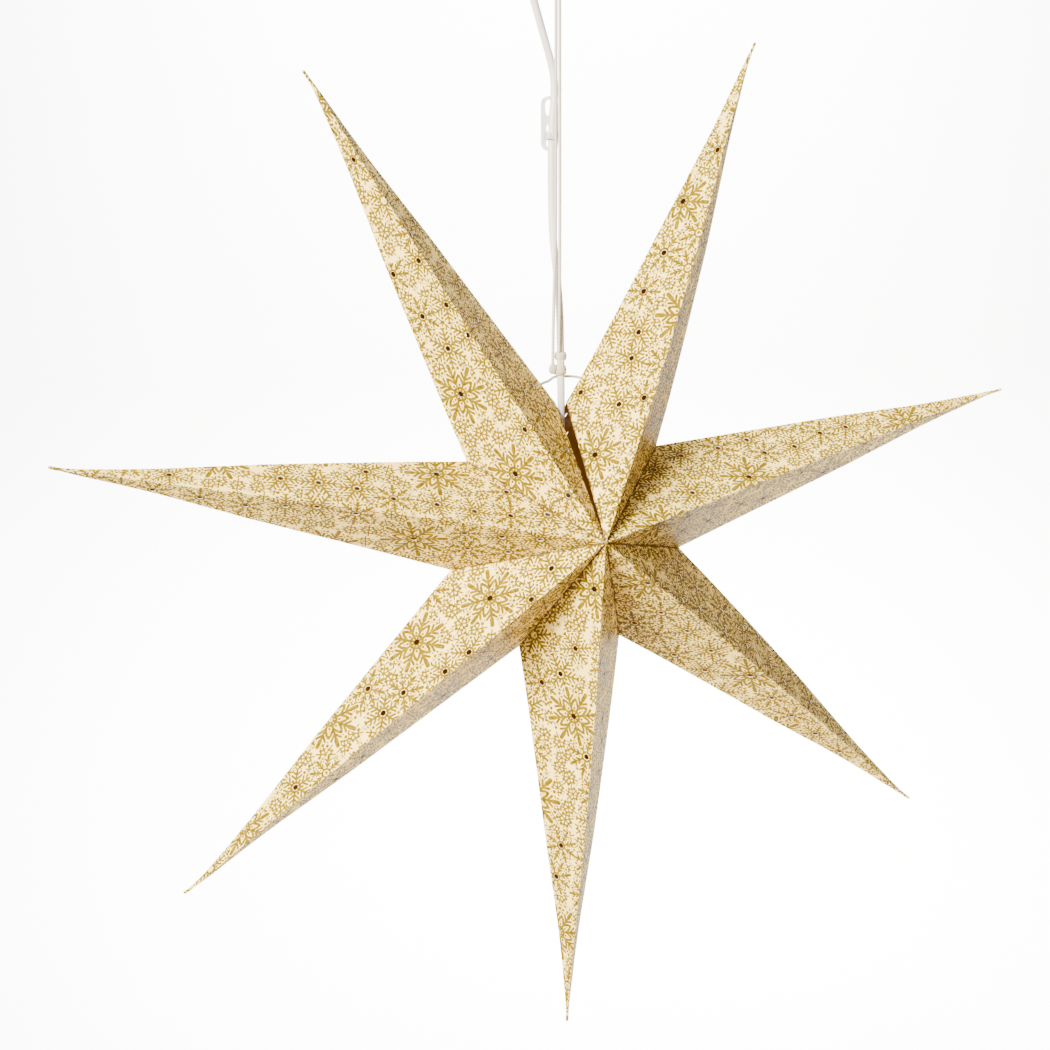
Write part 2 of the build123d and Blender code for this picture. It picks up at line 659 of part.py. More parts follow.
grip_bottom = neck_bottom - GRIP_HEIGHT
cord_grip = turned(
    [
        (LEAD_RADIUS, neck_bottom),
        (grip_radius, neck_bottom),
        (grip_radius, grip_bottom),
        (LEAD_RADIUS, grip_bottom),
    ]
)
keep(cord_grip, "cord_grip")

terminal_top = LAMP + Vector(0, 0, block_top + TERMINAL_HEIGHT)
core_top = Vector(LAMP_AXIS_X, 0, lead_start)
for side, name in ((-1, "live_core"), (1, "neutral_core")):
    core_foot = terminal_top + Vector(side * TERMINAL_SPACING / 2, 0, 0)
    core_head = core_top + Vector(side * LEAD_RADIUS / 2, 0, 0)
    core, core_line = cord([core_head, core_foot], CORE_DIAMETER, 0)
    with BuildPart() as trimmed_core:
        add(core.part)
        split(bisect_by=Plane(origin=core_top, z_dir=(0, 0, -1)), keep=Keep.TOP)
        split(bisect_by=Plane(origin=terminal_top, z_dir=(0, 0, 1)), keep=Keep.TOP)
    keep(trimmed_core, name)

# Bulb, screwed up into the sleeve; heights run down from its centre contact
contact_face = block_bottom - 2 * LEAF_THICKNESS
bulb_top = contact_face - RUNNING_CLEARANCE
cap_top = bulb_top - BULB_TIP_HEIGHT - BULB_INSULATOR_HEIGHT
cap_bottom = cap_top - BULB_CAP_LENGTH
cap_radius = BULB_CAP_DIAMETER / 2
cap_bore = cap_radius - BULB_CAP_WALL
tip_radius = BULB_TIP_DIAMETER / 2
bulb_cap = turned(
    [
        (tip_radius, cap_top),
        (cap_radius, cap_top),
        (cap_radius, cap_bottom),
        (cap_bore, cap_bottom),
        (cap_bore, cap_top - BULB_CAP_WALL),
        (tip_radius, cap_top - BULB_CAP_WALL),
    ]
)
keep(bulb_cap, "bulb_cap")

bulb_insulator = turned(
    [
        (0, cap_top + BULB_INSULATOR_HEIGHT),
        (tip_radius, cap_top + BULB_INSULATOR_HEIGHT),
        (cap_radius - BULB_CAP_WALL, cap_top),
        (0, cap_top),
    ]
)
keep(bulb_insulator, "bulb_insulator")

with BuildPart() as bulb_tip:
    with BuildSketch(Plane(origin=LAMP + Vector(0, 0, bulb_top - BULB_TIP_HEIGHT))):
        Circle(tip_radius)
    extrude(amount=BULB_TIP_HEIGHT)
    fillet(bulb_tip.faces().sort_by(Axis.Z)[-1].edges(), BULB_TIP_HEIGHT / 2)
keep(bulb_tip, "bulb_tip")

globe_radius = BULB_DIAMETER / 2
globe_join = globe_radius * math.sin(math.radians(BULB_GLOBE_START))
globe_join_height = cap_bottom - BULB_SHOULDER
globe_middle = globe_join_height - globe_radius * math.cos(math.radians(BULB_GLOBE_START))
globe_bottom = globe_middle - globe_radius
with BuildPart() as bulb_glass:
    with BuildSketch(holder_plane):
        with BuildLine():
            Polyline(
                (0, cap_bottom + BULB_NECK_GRIP),
                (cap_bore, cap_bottom + BULB_NECK_GRIP),
                (cap_bore, cap_bottom),
                (globe_join, globe_join_height),
            )
            ThreePointArc((globe_join, globe_join_height), (globe_radius, globe_middle), (0, globe_bottom))
            Line((0, globe_bottom), (0, cap_bottom + BULB_NECK_GRIP))
        make_face()
    revolve(axis=Axis(LAMP, (0, 0, 1)))
    offset(amount=-BULB_GLASS_WALL, openings=bulb_glass.faces().sort_by(Axis.Z)[-1:])
keep(bulb_glass, "bulb_glass")

stem_radius = STEM_DIAMETER / 2
stem_top = cap_bottom + BULB_NECK_GRIP
stem_bottom = stem_top - BULB_NECK_GRIP - STEM_LENGTH
flange_radius = STEM_FLANGE_DIAMETER / 2
stem_seat = cap_bore - BULB_GLASS_WALL
upper_flange = cap_bottom - STEM_FLANGE_HEIGHT
bulb_stem = turned(
    [
        (0, stem_top),
        (stem_seat, stem_top),
        (stem_seat, cap_bottom),
        (flange_radius, upper_flange),
        (stem_radius, upper_flange),
        (stem_radius, stem_bottom + STEM_FLANGE_HEIGHT),
        (flange_radius, stem_bottom + STEM_FLANGE_HEIGHT),
        (flange_radius, stem_bottom),
        (0, stem_bottom),
    ]
)
keep(bulb_stem, "bulb_stem")

with BuildPart() as bulb_filaments:
    with BuildSketch(Plane(origin=LAMP + Vector(0, 0, upper_flange))):
        with PolarLocations(flange_radius - FILAMENT_DIAMETER, FILAMENTS):
            Circle(FILAMENT_DIAMETER / 2)
    extrude(amount=stem_bottom + STEM_FLANGE_HEIGHT - upper_flange)
keep(bulb_filaments, "bulb_filaments")

print("star centre", CENTRE, "tie holes", left_hole, right_hole)
print("bulb reaches", round(LAMP.Z + globe_middle - globe_radius, 1))
print("plug pins reach", round(pin_face.Z - PIN_LENGTH, 1))
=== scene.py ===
# %% [markdown]
# # Paper star pendant
# A seven-pointed star of folded, printed and punched card hangs round a small lamp on a doubled string.
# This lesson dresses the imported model: the frame gives every rigid piece its place, and each cell below
# makes one piece or one finish. Sizes are in metres, +Z is up and the front faces -Y.

import math

import bmesh
import bpy
from mathutils import Matrix, Vector


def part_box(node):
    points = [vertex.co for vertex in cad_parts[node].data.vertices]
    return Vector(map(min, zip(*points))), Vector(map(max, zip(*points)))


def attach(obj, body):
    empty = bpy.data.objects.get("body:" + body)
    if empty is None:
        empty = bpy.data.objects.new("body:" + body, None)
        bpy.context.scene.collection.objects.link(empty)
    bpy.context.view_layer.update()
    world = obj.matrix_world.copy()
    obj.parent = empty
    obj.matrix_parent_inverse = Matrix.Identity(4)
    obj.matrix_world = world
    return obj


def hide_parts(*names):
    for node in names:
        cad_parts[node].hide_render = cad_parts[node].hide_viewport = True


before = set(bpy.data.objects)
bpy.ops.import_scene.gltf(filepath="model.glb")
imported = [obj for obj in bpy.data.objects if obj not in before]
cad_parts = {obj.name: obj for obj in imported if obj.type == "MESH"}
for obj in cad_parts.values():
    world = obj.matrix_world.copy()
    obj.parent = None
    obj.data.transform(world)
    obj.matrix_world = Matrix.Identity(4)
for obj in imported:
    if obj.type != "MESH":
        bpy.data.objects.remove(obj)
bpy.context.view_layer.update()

# %% [markdown]
# ## Helpers for node trees
# Colours are written as sRGB hex values, the way they are picked from a swatch, and Blender wants them
# linear. Every tree in this file, for a finish or for a shape, is built with the one function that adds a
# node. An input is a plain value, a socket to link, or a node whose first live output is linked.

# %% Colour and node helpers
MATHS, VECTORS = "ShaderNodeMath", "ShaderNodeVectorMath"
MIX, NOISE, RANGE = "ShaderNodeMix", "ShaderNodeTexNoise", "ShaderNodeMapRange"


def linear(code):
    """A colour of the form #RRGGBB as linear RGBA."""
    parts = [int(code[i : i + 2], 16) / 255 for i in (1, 3, 5)]
    return tuple(c / 12.92 if c <= 0.04045 else ((c + 0.055) / 1.055) ** 2.4 for c in parts) + (1.0,)


def feed(tree, node, inputs):
    """Set a node's inputs, or link them where the value is a socket or a node."""
    for name, value in inputs.items():
        if isinstance(value, bpy.types.Node):
            value = next(socket for socket in value.outputs if socket.enabled)
        if isinstance(value, bpy.types.NodeSocket):
            tree.links.new(value, node.inputs[name])
        else:
            node.inputs[name].default_value = value


def add(tree, kind, inputs=None, **settings):
    """A new node with its settings, its input values and the links into it."""
    made = tree.nodes.new(kind)
    for name, value in settings.items():
        setattr(made, name, value)
    feed(tree, made, inputs or {})
    return made


def new_finish(name, colour, roughness, metallic=0.0, **sockets):
    """A material with constant values on its shader's own sockets, and its tree for the detail."""
    material = bpy.data.materials.new(name)
    material.use_nodes = True
    tree = material.node_tree
    tree.nodes.clear()
    values = {"Base Color": linear(colour), "Roughness": roughness, "Metallic": metallic}
    values.update((socket.replace("_", " "), value) for socket, value in sockets.items())
    shader = add(tree, "ShaderNodeBsdfPrincipled", values)
    add(tree, "ShaderNodeOutputMaterial", {"Surface": shader})
    return material, tree, shader


print("helpers ready")

# %% [markdown]
# ## Camera and studio
# The camera stands to the left of the star's front and a little above it, as far off as a product
# photographer would stand with a short telephoto lens. The lens shift puts the star's centre where the
# picture has it. A pale cove, floor and wall in one sweep, takes the place of the studio's white paper.

# %% Camera
STAR_CENTRE = Vector((0.00562299, 0.0, -0.5))
CAMERA_TURN, CAMERA_RISE, CAMERA_FAR = math.radians(-21.15), math.radians(7.88), 1.8
LENS, SENSOR, SHIFT_X, SHIFT_Y = 89.17, 36.0, -0.03854, 0.00334


def new_object(name, data):
    """A new object in the scene."""
    made = bpy.data.objects.new(name, data)
    bpy.context.scene.collection.objects.link(made)
    return made


def aim(made, place, way):
    """Stand a camera or a light at a place and turn it to look a given way."""
    made.location = place
    made.rotation_mode = "QUATERNION"
    made.rotation_quaternion = way.to_track_quat("-Z", "Y")


level = math.cos(CAMERA_RISE)
towards_camera = Vector(
    (math.sin(CAMERA_TURN) * level, -math.cos(CAMERA_TURN) * level, math.sin(CAMERA_RISE))
)
camera_data = bpy.data.cameras.new("studio_camera")
camera_data.lens, camera_data.sensor_width = LENS, SENSOR
camera_data.shift_x, camera_data.shift_y = SHIFT_X, SHIFT_Y
camera = new_object("studio_camera", camera_data)
aim(camera, STAR_CENTRE + towards_camera * CAMERA_FAR, -towards_camera)
bpy.context.scene.camera = camera
print("camera at", camera.location[:])


# %% Cove
def mesh_piece(name, vertices, faces, *materials):
    """A new object with its place in its mesh."""
    mesh = bpy.data.meshes.new(name)
    mesh.from_pydata([tuple(v) for v in vertices], [], faces)
    for material in materials:
        mesh.materials.append(material)
    return new_object(name, mesh)


def studio_finish(name, colour):
    """A matt studio surface that is clear to a camera behind it, so that the star shows from every side."""
    material, tree, shader = new_finish(name, colour, 0.9)
    behind = add(tree, "ShaderNodeNewGeometry").outputs["Backfacing"]
    seen = add(tree, "ShaderNodeLightPath").outputs["Is Camera Ray"]
    clear = add(tree, MATHS, {0: behind, 1: seen}, operation="MULTIPLY")
    glass = add(tree, "ShaderNodeBsdfTransparent")
    mix = add(tree, "ShaderNodeMixShader", {0: clear, 1: shader, 2: glass})
    feed(tree, tree.nodes["Material Output"], {"Surface": mix})
    return material, tree, shader


WHITE, BEIGE = "#FFFFFF", "#B8A583"
FLOOR, FLOOR_FRONT, WALL, WALL_TOP, COVE_HALF = -1.35, -7.0, 1.9, 5.0, 6.0
COVE_ROUND, COVE_PARTS, CLOTH_END, CLOTH_FADE = 0.8, 12, 0.4, 0.5
cove_paper = studio_finish("studio paper", WHITE)[0]
# A beige floor keeps the light off the facets that face down. It fades into the white paper behind it.
floor_cloth, tree, shader = studio_finish("studio floor", BEIGE)
place = add(tree, "ShaderNodeTexCoord").outputs["Object"]
depth = add(tree, "ShaderNodeSeparateXYZ", {0: place}).outputs["Y"]
fade_range = {"From Min": CLOTH_END - CLOTH_FADE, "From Max": CLOTH_END}
fade = add(tree, RANGE, {"Value": depth, **fade_range}, interpolation_type="SMOOTHSTEP")
tone = add(tree, MIX, {0: fade, 6: linear(BEIGE), 7: linear(WHITE)}, data_type="RGBA")
feed(tree, shader, {"Base Color": tone})
profile = [(FLOOR_FRONT, FLOOR), (CLOTH_END, FLOOR)]
for step in range(COVE_PARTS + 1):
    angle = math.radians(90 * step / COVE_PARTS)
    depth = WALL - COVE_ROUND + COVE_ROUND * math.sin(angle)
    profile.append((depth, FLOOR + COVE_ROUND - COVE_ROUND * math.cos(angle)))
profile.append((WALL, WALL_TOP))
cove = mesh_piece(
    "cove",
    [(side * COVE_HALF, y, z) for y, z in profile for side in (-1, 1)],
    [(2 * i, 2 * i + 1, 2 * i + 3, 2 * i + 2) for i in range(len(profile) - 1)],
    cove_paper,
    floor_cloth,
)
for polygon in cove.data.polygons:
    polygon.use_smooth = True
cove.data.polygons[0].material_index = 1
print("cove of", len(cove.data.polygons), "faces")

# %% Lights
WARM_WHITE, ROOM_TONE, ROOM_STRENGTH = "#FFF6E8", "#FFF1DC", 0.29
# Each square soft box: place, aim, width, watts, the spread in degrees that its grid leaves, and colour.
SOFT_BOXES = {
    "key_box": ((-2.4, -1.7, 0.6), STAR_CENTRE, 1.2, 61, 50, WARM_WHITE),
    "fill_box": ((0.4, -3.0, 0.5), STAR_CENTRE, 1.6, 1.8, 50, WARM_WHITE),
    "wall_box": ((0.75, 0.9, 1.7), (0.75, 1.9, -0.6), 1.6, 330, 80, WHITE),
}
for name, (place, target, width, watts, spread, colour) in SOFT_BOXES.items():
    data = bpy.data.lights.new(name, "AREA")
    data.size, data.energy, data.spread = width, watts, math.radians(spread)
    data.color = linear(colour)[:3]
    aim(new_object(name, data), place, Vector(target) - Vector(place))
world = bpy.data.worlds.new("studio")
world.use_nodes = True
room = {"Color": linear(ROOM_TONE), "Strength": ROOM_STRENGTH}
feed(world.node_tree, world.node_tree.nodes["Background"], room)
bpy.context.scene.world = world
print(len(SOFT_BOXES), "soft boxes")

# %% [markdown]
# ## The card's print
# The card was printed flat, in one gold ink, with flakes of frost in four sizes, and folded afterwards,
# so the print runs over the folds. A picture could hold it, but the pattern follows a rule: a Voronoi
# texture deals one flake to each cell, turned at random, and folding the angle round its centre draws all
# arms from a single one. The coordinates are the flat sheet's own, in metres, kept in a UV map named
# print.

# %% A single flake as a distance
SMALLEST = 0.86  # the smallest flake of a layer, as a share of the largest


def flake_cell(tree, place, layer):
    """A layer's nearest flake: its middle, the way from there, and the cell's own random numbers."""
    cell, loose, shift = layer
    place = add(tree, VECTORS, {0: place, 1: shift}, operation="ADD")
    dealt = {"Vector": place, "Scale": 1 / cell, "Randomness": loose}
    spot = add(tree, "ShaderNodeTexVoronoi", dealt, voronoi_dimensions="2D").outputs
    away = add(tree, VECTORS, {0: place, 1: spot["Position"]}, operation="SUBTRACT")
    return spot["Position"], away, add(tree, "ShaderNodeSeparateColor", {0: spot["Color"]}).outputs


def flake(tree, away, chance, reach, arms, strokes, dots, ring):
    """How far a place is from a flake's ink, in metres, from the way to the flake's middle.

    Strokes are (start, end, turn, half width) along an arm and dots are (out, share of the way to the next
    arm, radius), both for a flake of reach 1. A ring is (radius, half width).
    """
    out = add(tree, VECTORS, {0: away}, operation="LENGTH")
    parts = add(tree, "ShaderNodeSeparateXYZ", {0: away}).outputs
    angle = add(tree, MATHS, {0: parts["Y"], 1: parts["X"]}, operation="ARCTAN2")
    turned = add(tree, MATHS, {0: angle, 1: arms / (2 * math.pi), 2: chance[0]}, operation="MULTIPLY_ADD")
    share = add(tree, MATHS, {0: turned}, operation="FRACT")
    offset = add(tree, MATHS, {0: share, 1: 0.5}, operation="SUBTRACT")
    folded = add(tree, MATHS, {0: offset}, operation="ABSOLUTE")
    fold = add(tree, MATHS, {0: folded, 1: 2 * math.pi / arms}, operation="MULTIPLY")
    size = add(tree, RANGE, {"Value": chance[1], "To Min": SMALLEST * reach, "To Max": reach})
    unit = add(tree, MATHS, {0: out, 1: size}, operation="DIVIDE")
    cosine = add(tree, MATHS, {0: fold}, operation="COSINE")
    sine = add(tree, MATHS, {0: fold}, operation="SINE")
    along = add(tree, MATHS, {0: unit, 1: cosine}, operation="MULTIPLY")
    aside = add(tree, MATHS, {0: unit, 1: sine}, operation="MULTIPLY")
    arm = add(tree, "ShaderNodeCombineXYZ", {0: along, 1: aside})
    gaps = []
    for start, end, turn, half in strokes:
        line = arm
        if turn:
            lean = {"Vector": arm, "Center": (start, 0, 0), "Angle": -math.radians(turn)}
            line = add(tree, "ShaderNodeVectorRotate", lean, rotation_type="Z_AXIS")
        flat = add(tree, VECTORS, {0: line, 1: (1, 0, 0)}, operation="MULTIPLY")
        after = add(tree, VECTORS, {0: flat, 1: (start, 0, 0)}, operation="MAXIMUM")
        before = add(tree, VECTORS, {0: after, 1: (end, 0, 0)}, operation="MINIMUM")
        gaps.append((add(tree, VECTORS, {0: line, 1: before}, operation="DISTANCE"), half))
    for distance, way, radius in dots:
        turn = math.pi / arms * way
        middle = (distance * math.cos(turn), distance * math.sin(turn), 0)
        gaps.append((add(tree, VECTORS, {0: arm, 1: middle}, operation="DISTANCE"), radius))
    if ring:
        from_ring = add(tree, MATHS, {0: unit, 1: ring[0]}, operation="SUBTRACT")
        gaps.append((add(tree, MATHS, {0: from_ring}, operation="ABSOLUTE"), ring[1]))
    nearest = None
    for gap, half in gaps:
        edge = add(tree, MATHS, {0: gap, 1: half}, operation="SUBTRACT")
        nearest = edge if nearest is None else add(tree, MATHS, {0: nearest, 1: edge}, operation="MINIMUM")
    return add(tree, MATHS, {0: nearest, 1: size}, operation="MULTIPLY")


# Each layer of the print: the size of its cells, how loosely the flakes lie in them, and where it starts.
LARGE = (0.088, 0.6, (0.013, 0.041, 0.0))
MIDDLE = (0.0258, 0.45, (0.207, 0.119, 0.0))
SMALL = (0.0122, 0.5, (0.331, 0.257, 0.0))
TINY = (0.0058, 0.6, (0.107, 0.411, 0.0))
LARGE_FLAKE = (
    0.0245,
    8,
    [(0.1, 0.7, 0, 0.045), (0.72, 0.92, 0, 0.075), (0.34, 0.56, 40, 0.05), (0.52, 0.76, 44, 0.046)],
    [(0.58, 1.0, 0.07), (0.3, 1.0, 0.05), (0.84, 1.0, 0.06)],
    (0.2, 0.05),
)
RINGED_FLAKE = (
    0.0155,
    6,
    [(0.2, 0.95, 0, 0.06), (0.38, 0.7, 52, 0.06), (0.6, 0.88, 52, 0.056), (0.86, 1.0, 42, 0.05)],
    [(0.36, 1.0, 0.08), (0.78, 1.0, 0.085)],
    (0.24, 0.065),
)
STARRY_FLAKE = (
    0.0155,
    8,
    [(0.2, 0.62, 0, 0.055), (0.64, 0.94, 0, 0.085), (0.36, 0.58, 36, 0.06), (0.6, 0.84, 50, 0.055)],
    [(0.84, 1.0, 0.08), (0.38, 1.0, 0.05)],
    (0.22, 0.06),
)
SMALL_FLAKE = (0.0078, 6, [(0.0, 0.95, 0, 0.09), (0.42, 0.82, 54, 0.09)], [(0.55, 1.0, 0.11)], None)
TINY_FLAKE = (0.0029, 6, [(0.0, 0.85, 0, 0.16)], [], None)
LARGE_ROOM = 0.029  # a middle flake keeps this far from a large one's middle
RING_SHARE = 0.5  # of the middle flakes, this many have the ringed design
TINY_SHARE = 0.55  # of the tiny flakes, this many are printed
print("flake sizes, mm:", [round(2000 * f[0]) for f in (LARGE_FLAKE, RINGED_FLAKE, SMALL_FLAKE, TINY_FLAKE)])

# %% [markdown]
# ## Printed card
# The card is a smooth, bright, slightly warm paper of about half a millimetre. Its ink is a matt gold: a
# yellow ochre with fine mica in it, a little shinier than the paper. Where two flakes would cross, the
# larger one keeps a clear edge. Along the glued seams a fine dark line of painted shade marks the groove
# between neighbouring points, broken here and there: the map named seam gives the distance from the seam.

# %% Layers of the print
PAPER, PAPER_WARM, INK, INK_DEEP, SEAM_SHADE = "#FFE58E", "#FBDA7A", "#7C6A00", "#524200", "#4A3A1C"
# A painted warm glow stands in for the light that comes through the card from facet to facet, which keeps
# the print's shade brown.
printed_card, tree, shader = new_finish(
    "coated card with gold ink",
    PAPER,
    0.6,
    Specular_IOR_Level=0.03,
    Emission_Color=linear("#C87A28"),
    Emission_Strength=0.08,
)
sheet_place = add(tree, "ShaderNodeUVMap", uv_map="print")
_, away, chance = flake_cell(tree, sheet_place, LARGE)
large = flake(tree, away, chance, *LARGE_FLAKE)
middle_spot, away, chance = flake_cell(tree, sheet_place, MIDDLE)
ringed = flake(tree, away, chance, *RINGED_FLAKE)
starry = flake(tree, away, chance, *STARRY_FLAKE)
ringed_cell = add(tree, MATHS, {0: chance[2], 1: RING_SHARE}, operation="LESS_THAN")
middle = add(tree, MIX, {0: ringed_cell, 2: starry, 3: ringed})
# A flake that gives way, or isn't printed, gets a metre added to its distance.
sheet_spot = add(tree, VECTORS, {0: middle_spot, 1: MIDDLE[2]}, operation="SUBTRACT")
_, away, _ = flake_cell(tree, sheet_spot, LARGE)
large_room = add(tree, VECTORS, {0: away}, operation="LENGTH")
given_way = add(tree, MATHS, {0: large_room, 1: LARGE_ROOM}, operation="LESS_THAN")
middle = add(tree, MATHS, {0: middle, 1: given_way}, operation="ADD")
_, away, chance = flake_cell(tree, sheet_place, SMALL)
small = flake(tree, away, chance, *SMALL_FLAKE)
_, away, chance = flake_cell(tree, sheet_place, TINY)
tiny = flake(tree, away, chance, *TINY_FLAKE)
left_out = add(tree, MATHS, {0: chance[2], 1: TINY_SHARE}, operation="GREATER_THAN")
tiny = add(tree, MATHS, {0: tiny, 1: left_out}, operation="ADD")
INK_GAP, INK_EDGE, INK_THIN = 0.0006, 0.00015, 0.0001
inked_range = {"From Min": INK_EDGE - INK_THIN, "From Max": -INK_EDGE - INK_THIN}
ink_mask = free = None
for ink in (large, middle, small, tiny):
    inked = add(tree, RANGE, {"Value": ink, **inked_range})
    clear = add(tree, MATHS, {0: ink, 1: INK_GAP}, operation="GREATER_THAN")
    if free is None:
        ink_mask, free = inked, clear
        continue
    inked = add(tree, MATHS, {0: inked, 1: free}, operation="MULTIPLY")
    ink_mask = add(tree, MATHS, {0: ink_mask, 1: inked}, operation="MAXIMUM")
    free = add(tree, MATHS, {0: free, 1: clear}, operation="MULTIPLY")
print("print of", len(tree.nodes), "nodes")

# %% Paper, ink and seams
# Sizes of the paper's patches, the mica's and the breaks in the seams' painted shade. The paper's tooth is
# about 0.2 mm and would not show, so it is drawn at 1.5 mm.
PATCH_SIZE, MICA_SIZE, SEAM_BREAK_SIZE, TOOTH_SIZE, SEAM_LINE = 0.03, 0.0025, 0.007, 0.0015, 0.0013
object_place = add(tree, "ShaderNodeTexCoord").outputs["Object"]
patch = add(tree, NOISE, {"Vector": object_place, "Scale": 1 / PATCH_SIZE, "Detail": 3.0})
paper_tone = add(tree, MIX, {0: patch, 6: linear(PAPER_WARM), 7: linear(PAPER)}, data_type="RGBA")
mica = add(tree, NOISE, {"Vector": sheet_place, "Scale": 1 / MICA_SIZE, "Detail": 4.0})
mica = add(tree, RANGE, {"Value": mica, "From Min": 0.38, "From Max": 0.62})
ink_tone = add(tree, MIX, {0: mica, 6: linear(INK_DEEP), 7: linear(INK)}, data_type="RGBA")
card_tone = add(tree, MIX, {0: ink_mask, 6: paper_tone, 7: ink_tone}, data_type="RGBA")
seam_place = add(tree, "ShaderNodeUVMap", uv_map="seam")
from_seam = add(tree, "ShaderNodeSeparateXYZ", {0: seam_place}).outputs[0]
broken = add(tree, NOISE, {"Vector": seam_place, "Scale": 1 / SEAM_BREAK_SIZE, "Detail": 2.0})
broken = add(tree, RANGE, {"Value": broken, "From Min": 0.34, "From Max": 0.5})
# Painted shade: close to a seam the card turns darker, in a line broken by noise.
seam_range = {"From Min": SEAM_LINE, "From Max": 0.4 * SEAM_LINE, "To Max": 0.9}
near_seam = add(tree, RANGE, {"Value": from_seam, **seam_range})
seam_shade = add(tree, MATHS, {0: near_seam, 1: broken}, operation="MULTIPLY")
card_tone = add(tree, MIX, {0: seam_shade, 6: card_tone, 7: linear(SEAM_SHADE)}, data_type="RGBA")
gloss = add(tree, RANGE, {"Value": ink_mask, "To Min": 0.7, "To Max": 0.5})
tooth = add(tree, NOISE, {"Vector": object_place, "Scale": 1 / TOOTH_SIZE, "Detail": 2.0})
bump = add(tree, "ShaderNodeBump", {"Height": tooth, "Strength": 0.12, "Distance": 0.0002})
feed(tree, shader, {"Base Color": card_tone, "Roughness": gloss, "Normal": bump})
print("printed card:", len(tree.nodes), "nodes")


# %% Inside and cut edge of the card
def mottled(
    name, dark, light, roughness, grain, metallic=0.0, rub=0.2, relief=0.08, detail=4.0, swirl=0.0, **sockets
):
    """A finish whose tone drifts in patches of the grain's size, and its gloss by the share rub."""
    material, tree, shader = new_finish(name, light, roughness, metallic, **sockets)
    place = add(tree, "ShaderNodeTexCoord").outputs["Object"]
    patches = {"Vector": place, "Scale": 1 / grain, "Detail": detail, "Distortion": swirl}
    noise = add(tree, NOISE, patches)
    tone = add(tree, MIX, {0: noise, 6: linear(dark), 7: linear(light)}, data_type="RGBA")
    feed(tree, shader, {"Base Color": tone})
    if rub:
        ends = {"To Min": roughness * (1 - rub), "To Max": roughness * (1 + rub)}
        feed(tree, shader, {"Roughness": add(tree, RANGE, {"Value": noise, **ends})})
    if relief:
        bump = add(tree, "ShaderNodeBump", {"Height": noise, "Strength": relief, "Distance": grain * 0.1})
        feed(tree, shader, {"Normal": bump})
    return material


# The inside is painted dark brown as painted shade for the unlit inside of the star, with a painted warm
# glow for some of the lamp's light in it. The cut edge is bare white fibre.
inside_shade_and_glow = mottled(
    "inside of the card, painted shade and glow",
    "#432A0E",
    "#64421C",
    0.8,
    0.012,
    rub=0,
    relief=0,
    Emission_Color=linear("#8A5414"),
    Emission_Strength=0.36,
)
cut_edge = mottled("cut edge of the card", "#E2DACA", "#F1ECE2", 0.75, 0.004, rub=0, relief=0, detail=3.0)
print("inside and edge finishes made")

# %% [markdown]
# ## Shape of one point
# A point is a four-sided pyramid: two ridges, in front and behind, and two creases at its sides, all
# through the tip. Unrolled round the tip it is a fan of four triangles, which is the flat sheet. The
# sizes repeat those of the frame.

# %% The fan of four facets
POINTS = 7
TIP_RADIUS, VALLEY_RADIUS, HALF_DEPTH, TIP_SETBACK = 0.360, 0.0875, 0.075, 0.015
SLOT_ANGLE, SLOT_LEAN = 5.0, 2.2
HALF_STEP = math.radians((360 - SLOT_ANGLE) / POINTS / 2)


def point_axes(number):
    """Directions outward along a point and aside from it, clockwise from the slot."""
    angle = math.radians(SLOT_ANGLE / 2 - SLOT_LEAN) + HALF_STEP * (2 * number - 1)
    return Vector((math.sin(angle), 0, math.cos(angle))), Vector((math.cos(angle), 0, -math.sin(angle)))


def point_corners(number):
    """Tip, front apex, back apex, and the valley corners on the left and right of a point."""
    outward, aside = point_axes(number)
    back = Vector((0, 1, 0))
    tip = STAR_CENTRE + outward * TIP_RADIUS + back * TIP_SETBACK
    valleys = [
        STAR_CENTRE + (outward * math.cos(HALF_STEP) + aside * (side * math.sin(HALF_STEP))) * VALLEY_RADIUS
        for side in (-1, 1)
    ]
    return tip, STAR_CENTRE - back * HALF_DEPTH, STAR_CENTRE + back * HALF_DEPTH, *valleys


tip, front, rear, left, right = point_corners(1)
front_angle = (front - tip).angle(right - tip)
rear_angle = (rear - tip).angle(right - tip)
FAN = [
    (-front_angle - rear_angle, (rear - tip).length),
    (-front_angle, (left - tip).length),
    (0.0, (front - tip).length),
    (front_angle, (right - tip).length),
    (front_angle + rear_angle, (rear - tip).length),
]
print("fan of", round(math.degrees(2 * (front_angle + rear_angle)), 1), "degrees")

# %% [markdown]
# ## Where the holes are
# A hole is punched through the middle of every larger flake, to let the lamp shine through. The shader
# knows those middles only while it runs, but the same Voronoi texture also runs in Geometry Nodes, so a
# grid of points over the sheet asks it for the middle of each cell.


# %% Trees that make shapes
def shape_tree(name, **inputs):
    """A Geometry Nodes tree with named inputs, its input node's sockets, and each input's identifier."""
    tree = bpy.data.node_groups.new(name, "GeometryNodeTree")
    keys = {}
    for label, kind in {"Geometry": "Geometry", **inputs}.items():
        socket = tree.interface.new_socket(label, in_out="INPUT", socket_type=f"NodeSocket{kind}")
        keys[label] = socket.identifier
    tree.interface.new_socket("Geometry", in_out="OUTPUT", socket_type="NodeSocketGeometry")
    return tree, add(tree, "NodeGroupInput").outputs, keys


def plain_mesh(host):
    """The plain mesh that a host's curve or modifiers give; the host is removed."""
    graph = bpy.context.evaluated_depsgraph_get()
    mesh = bpy.data.meshes.new_from_object(host.evaluated_get(graph))
    bpy.data.objects.remove(host)
    return mesh


def shaped(host, tree, keys, **values):
    """The plain mesh that a tree makes of a host."""
    modifier = host.modifiers.new(tree.name, "NODES")
    modifier.node_group = tree
    for label, value in values.items():
        modifier[keys[label]] = value
    return plain_mesh(host)


print("shape helpers ready")

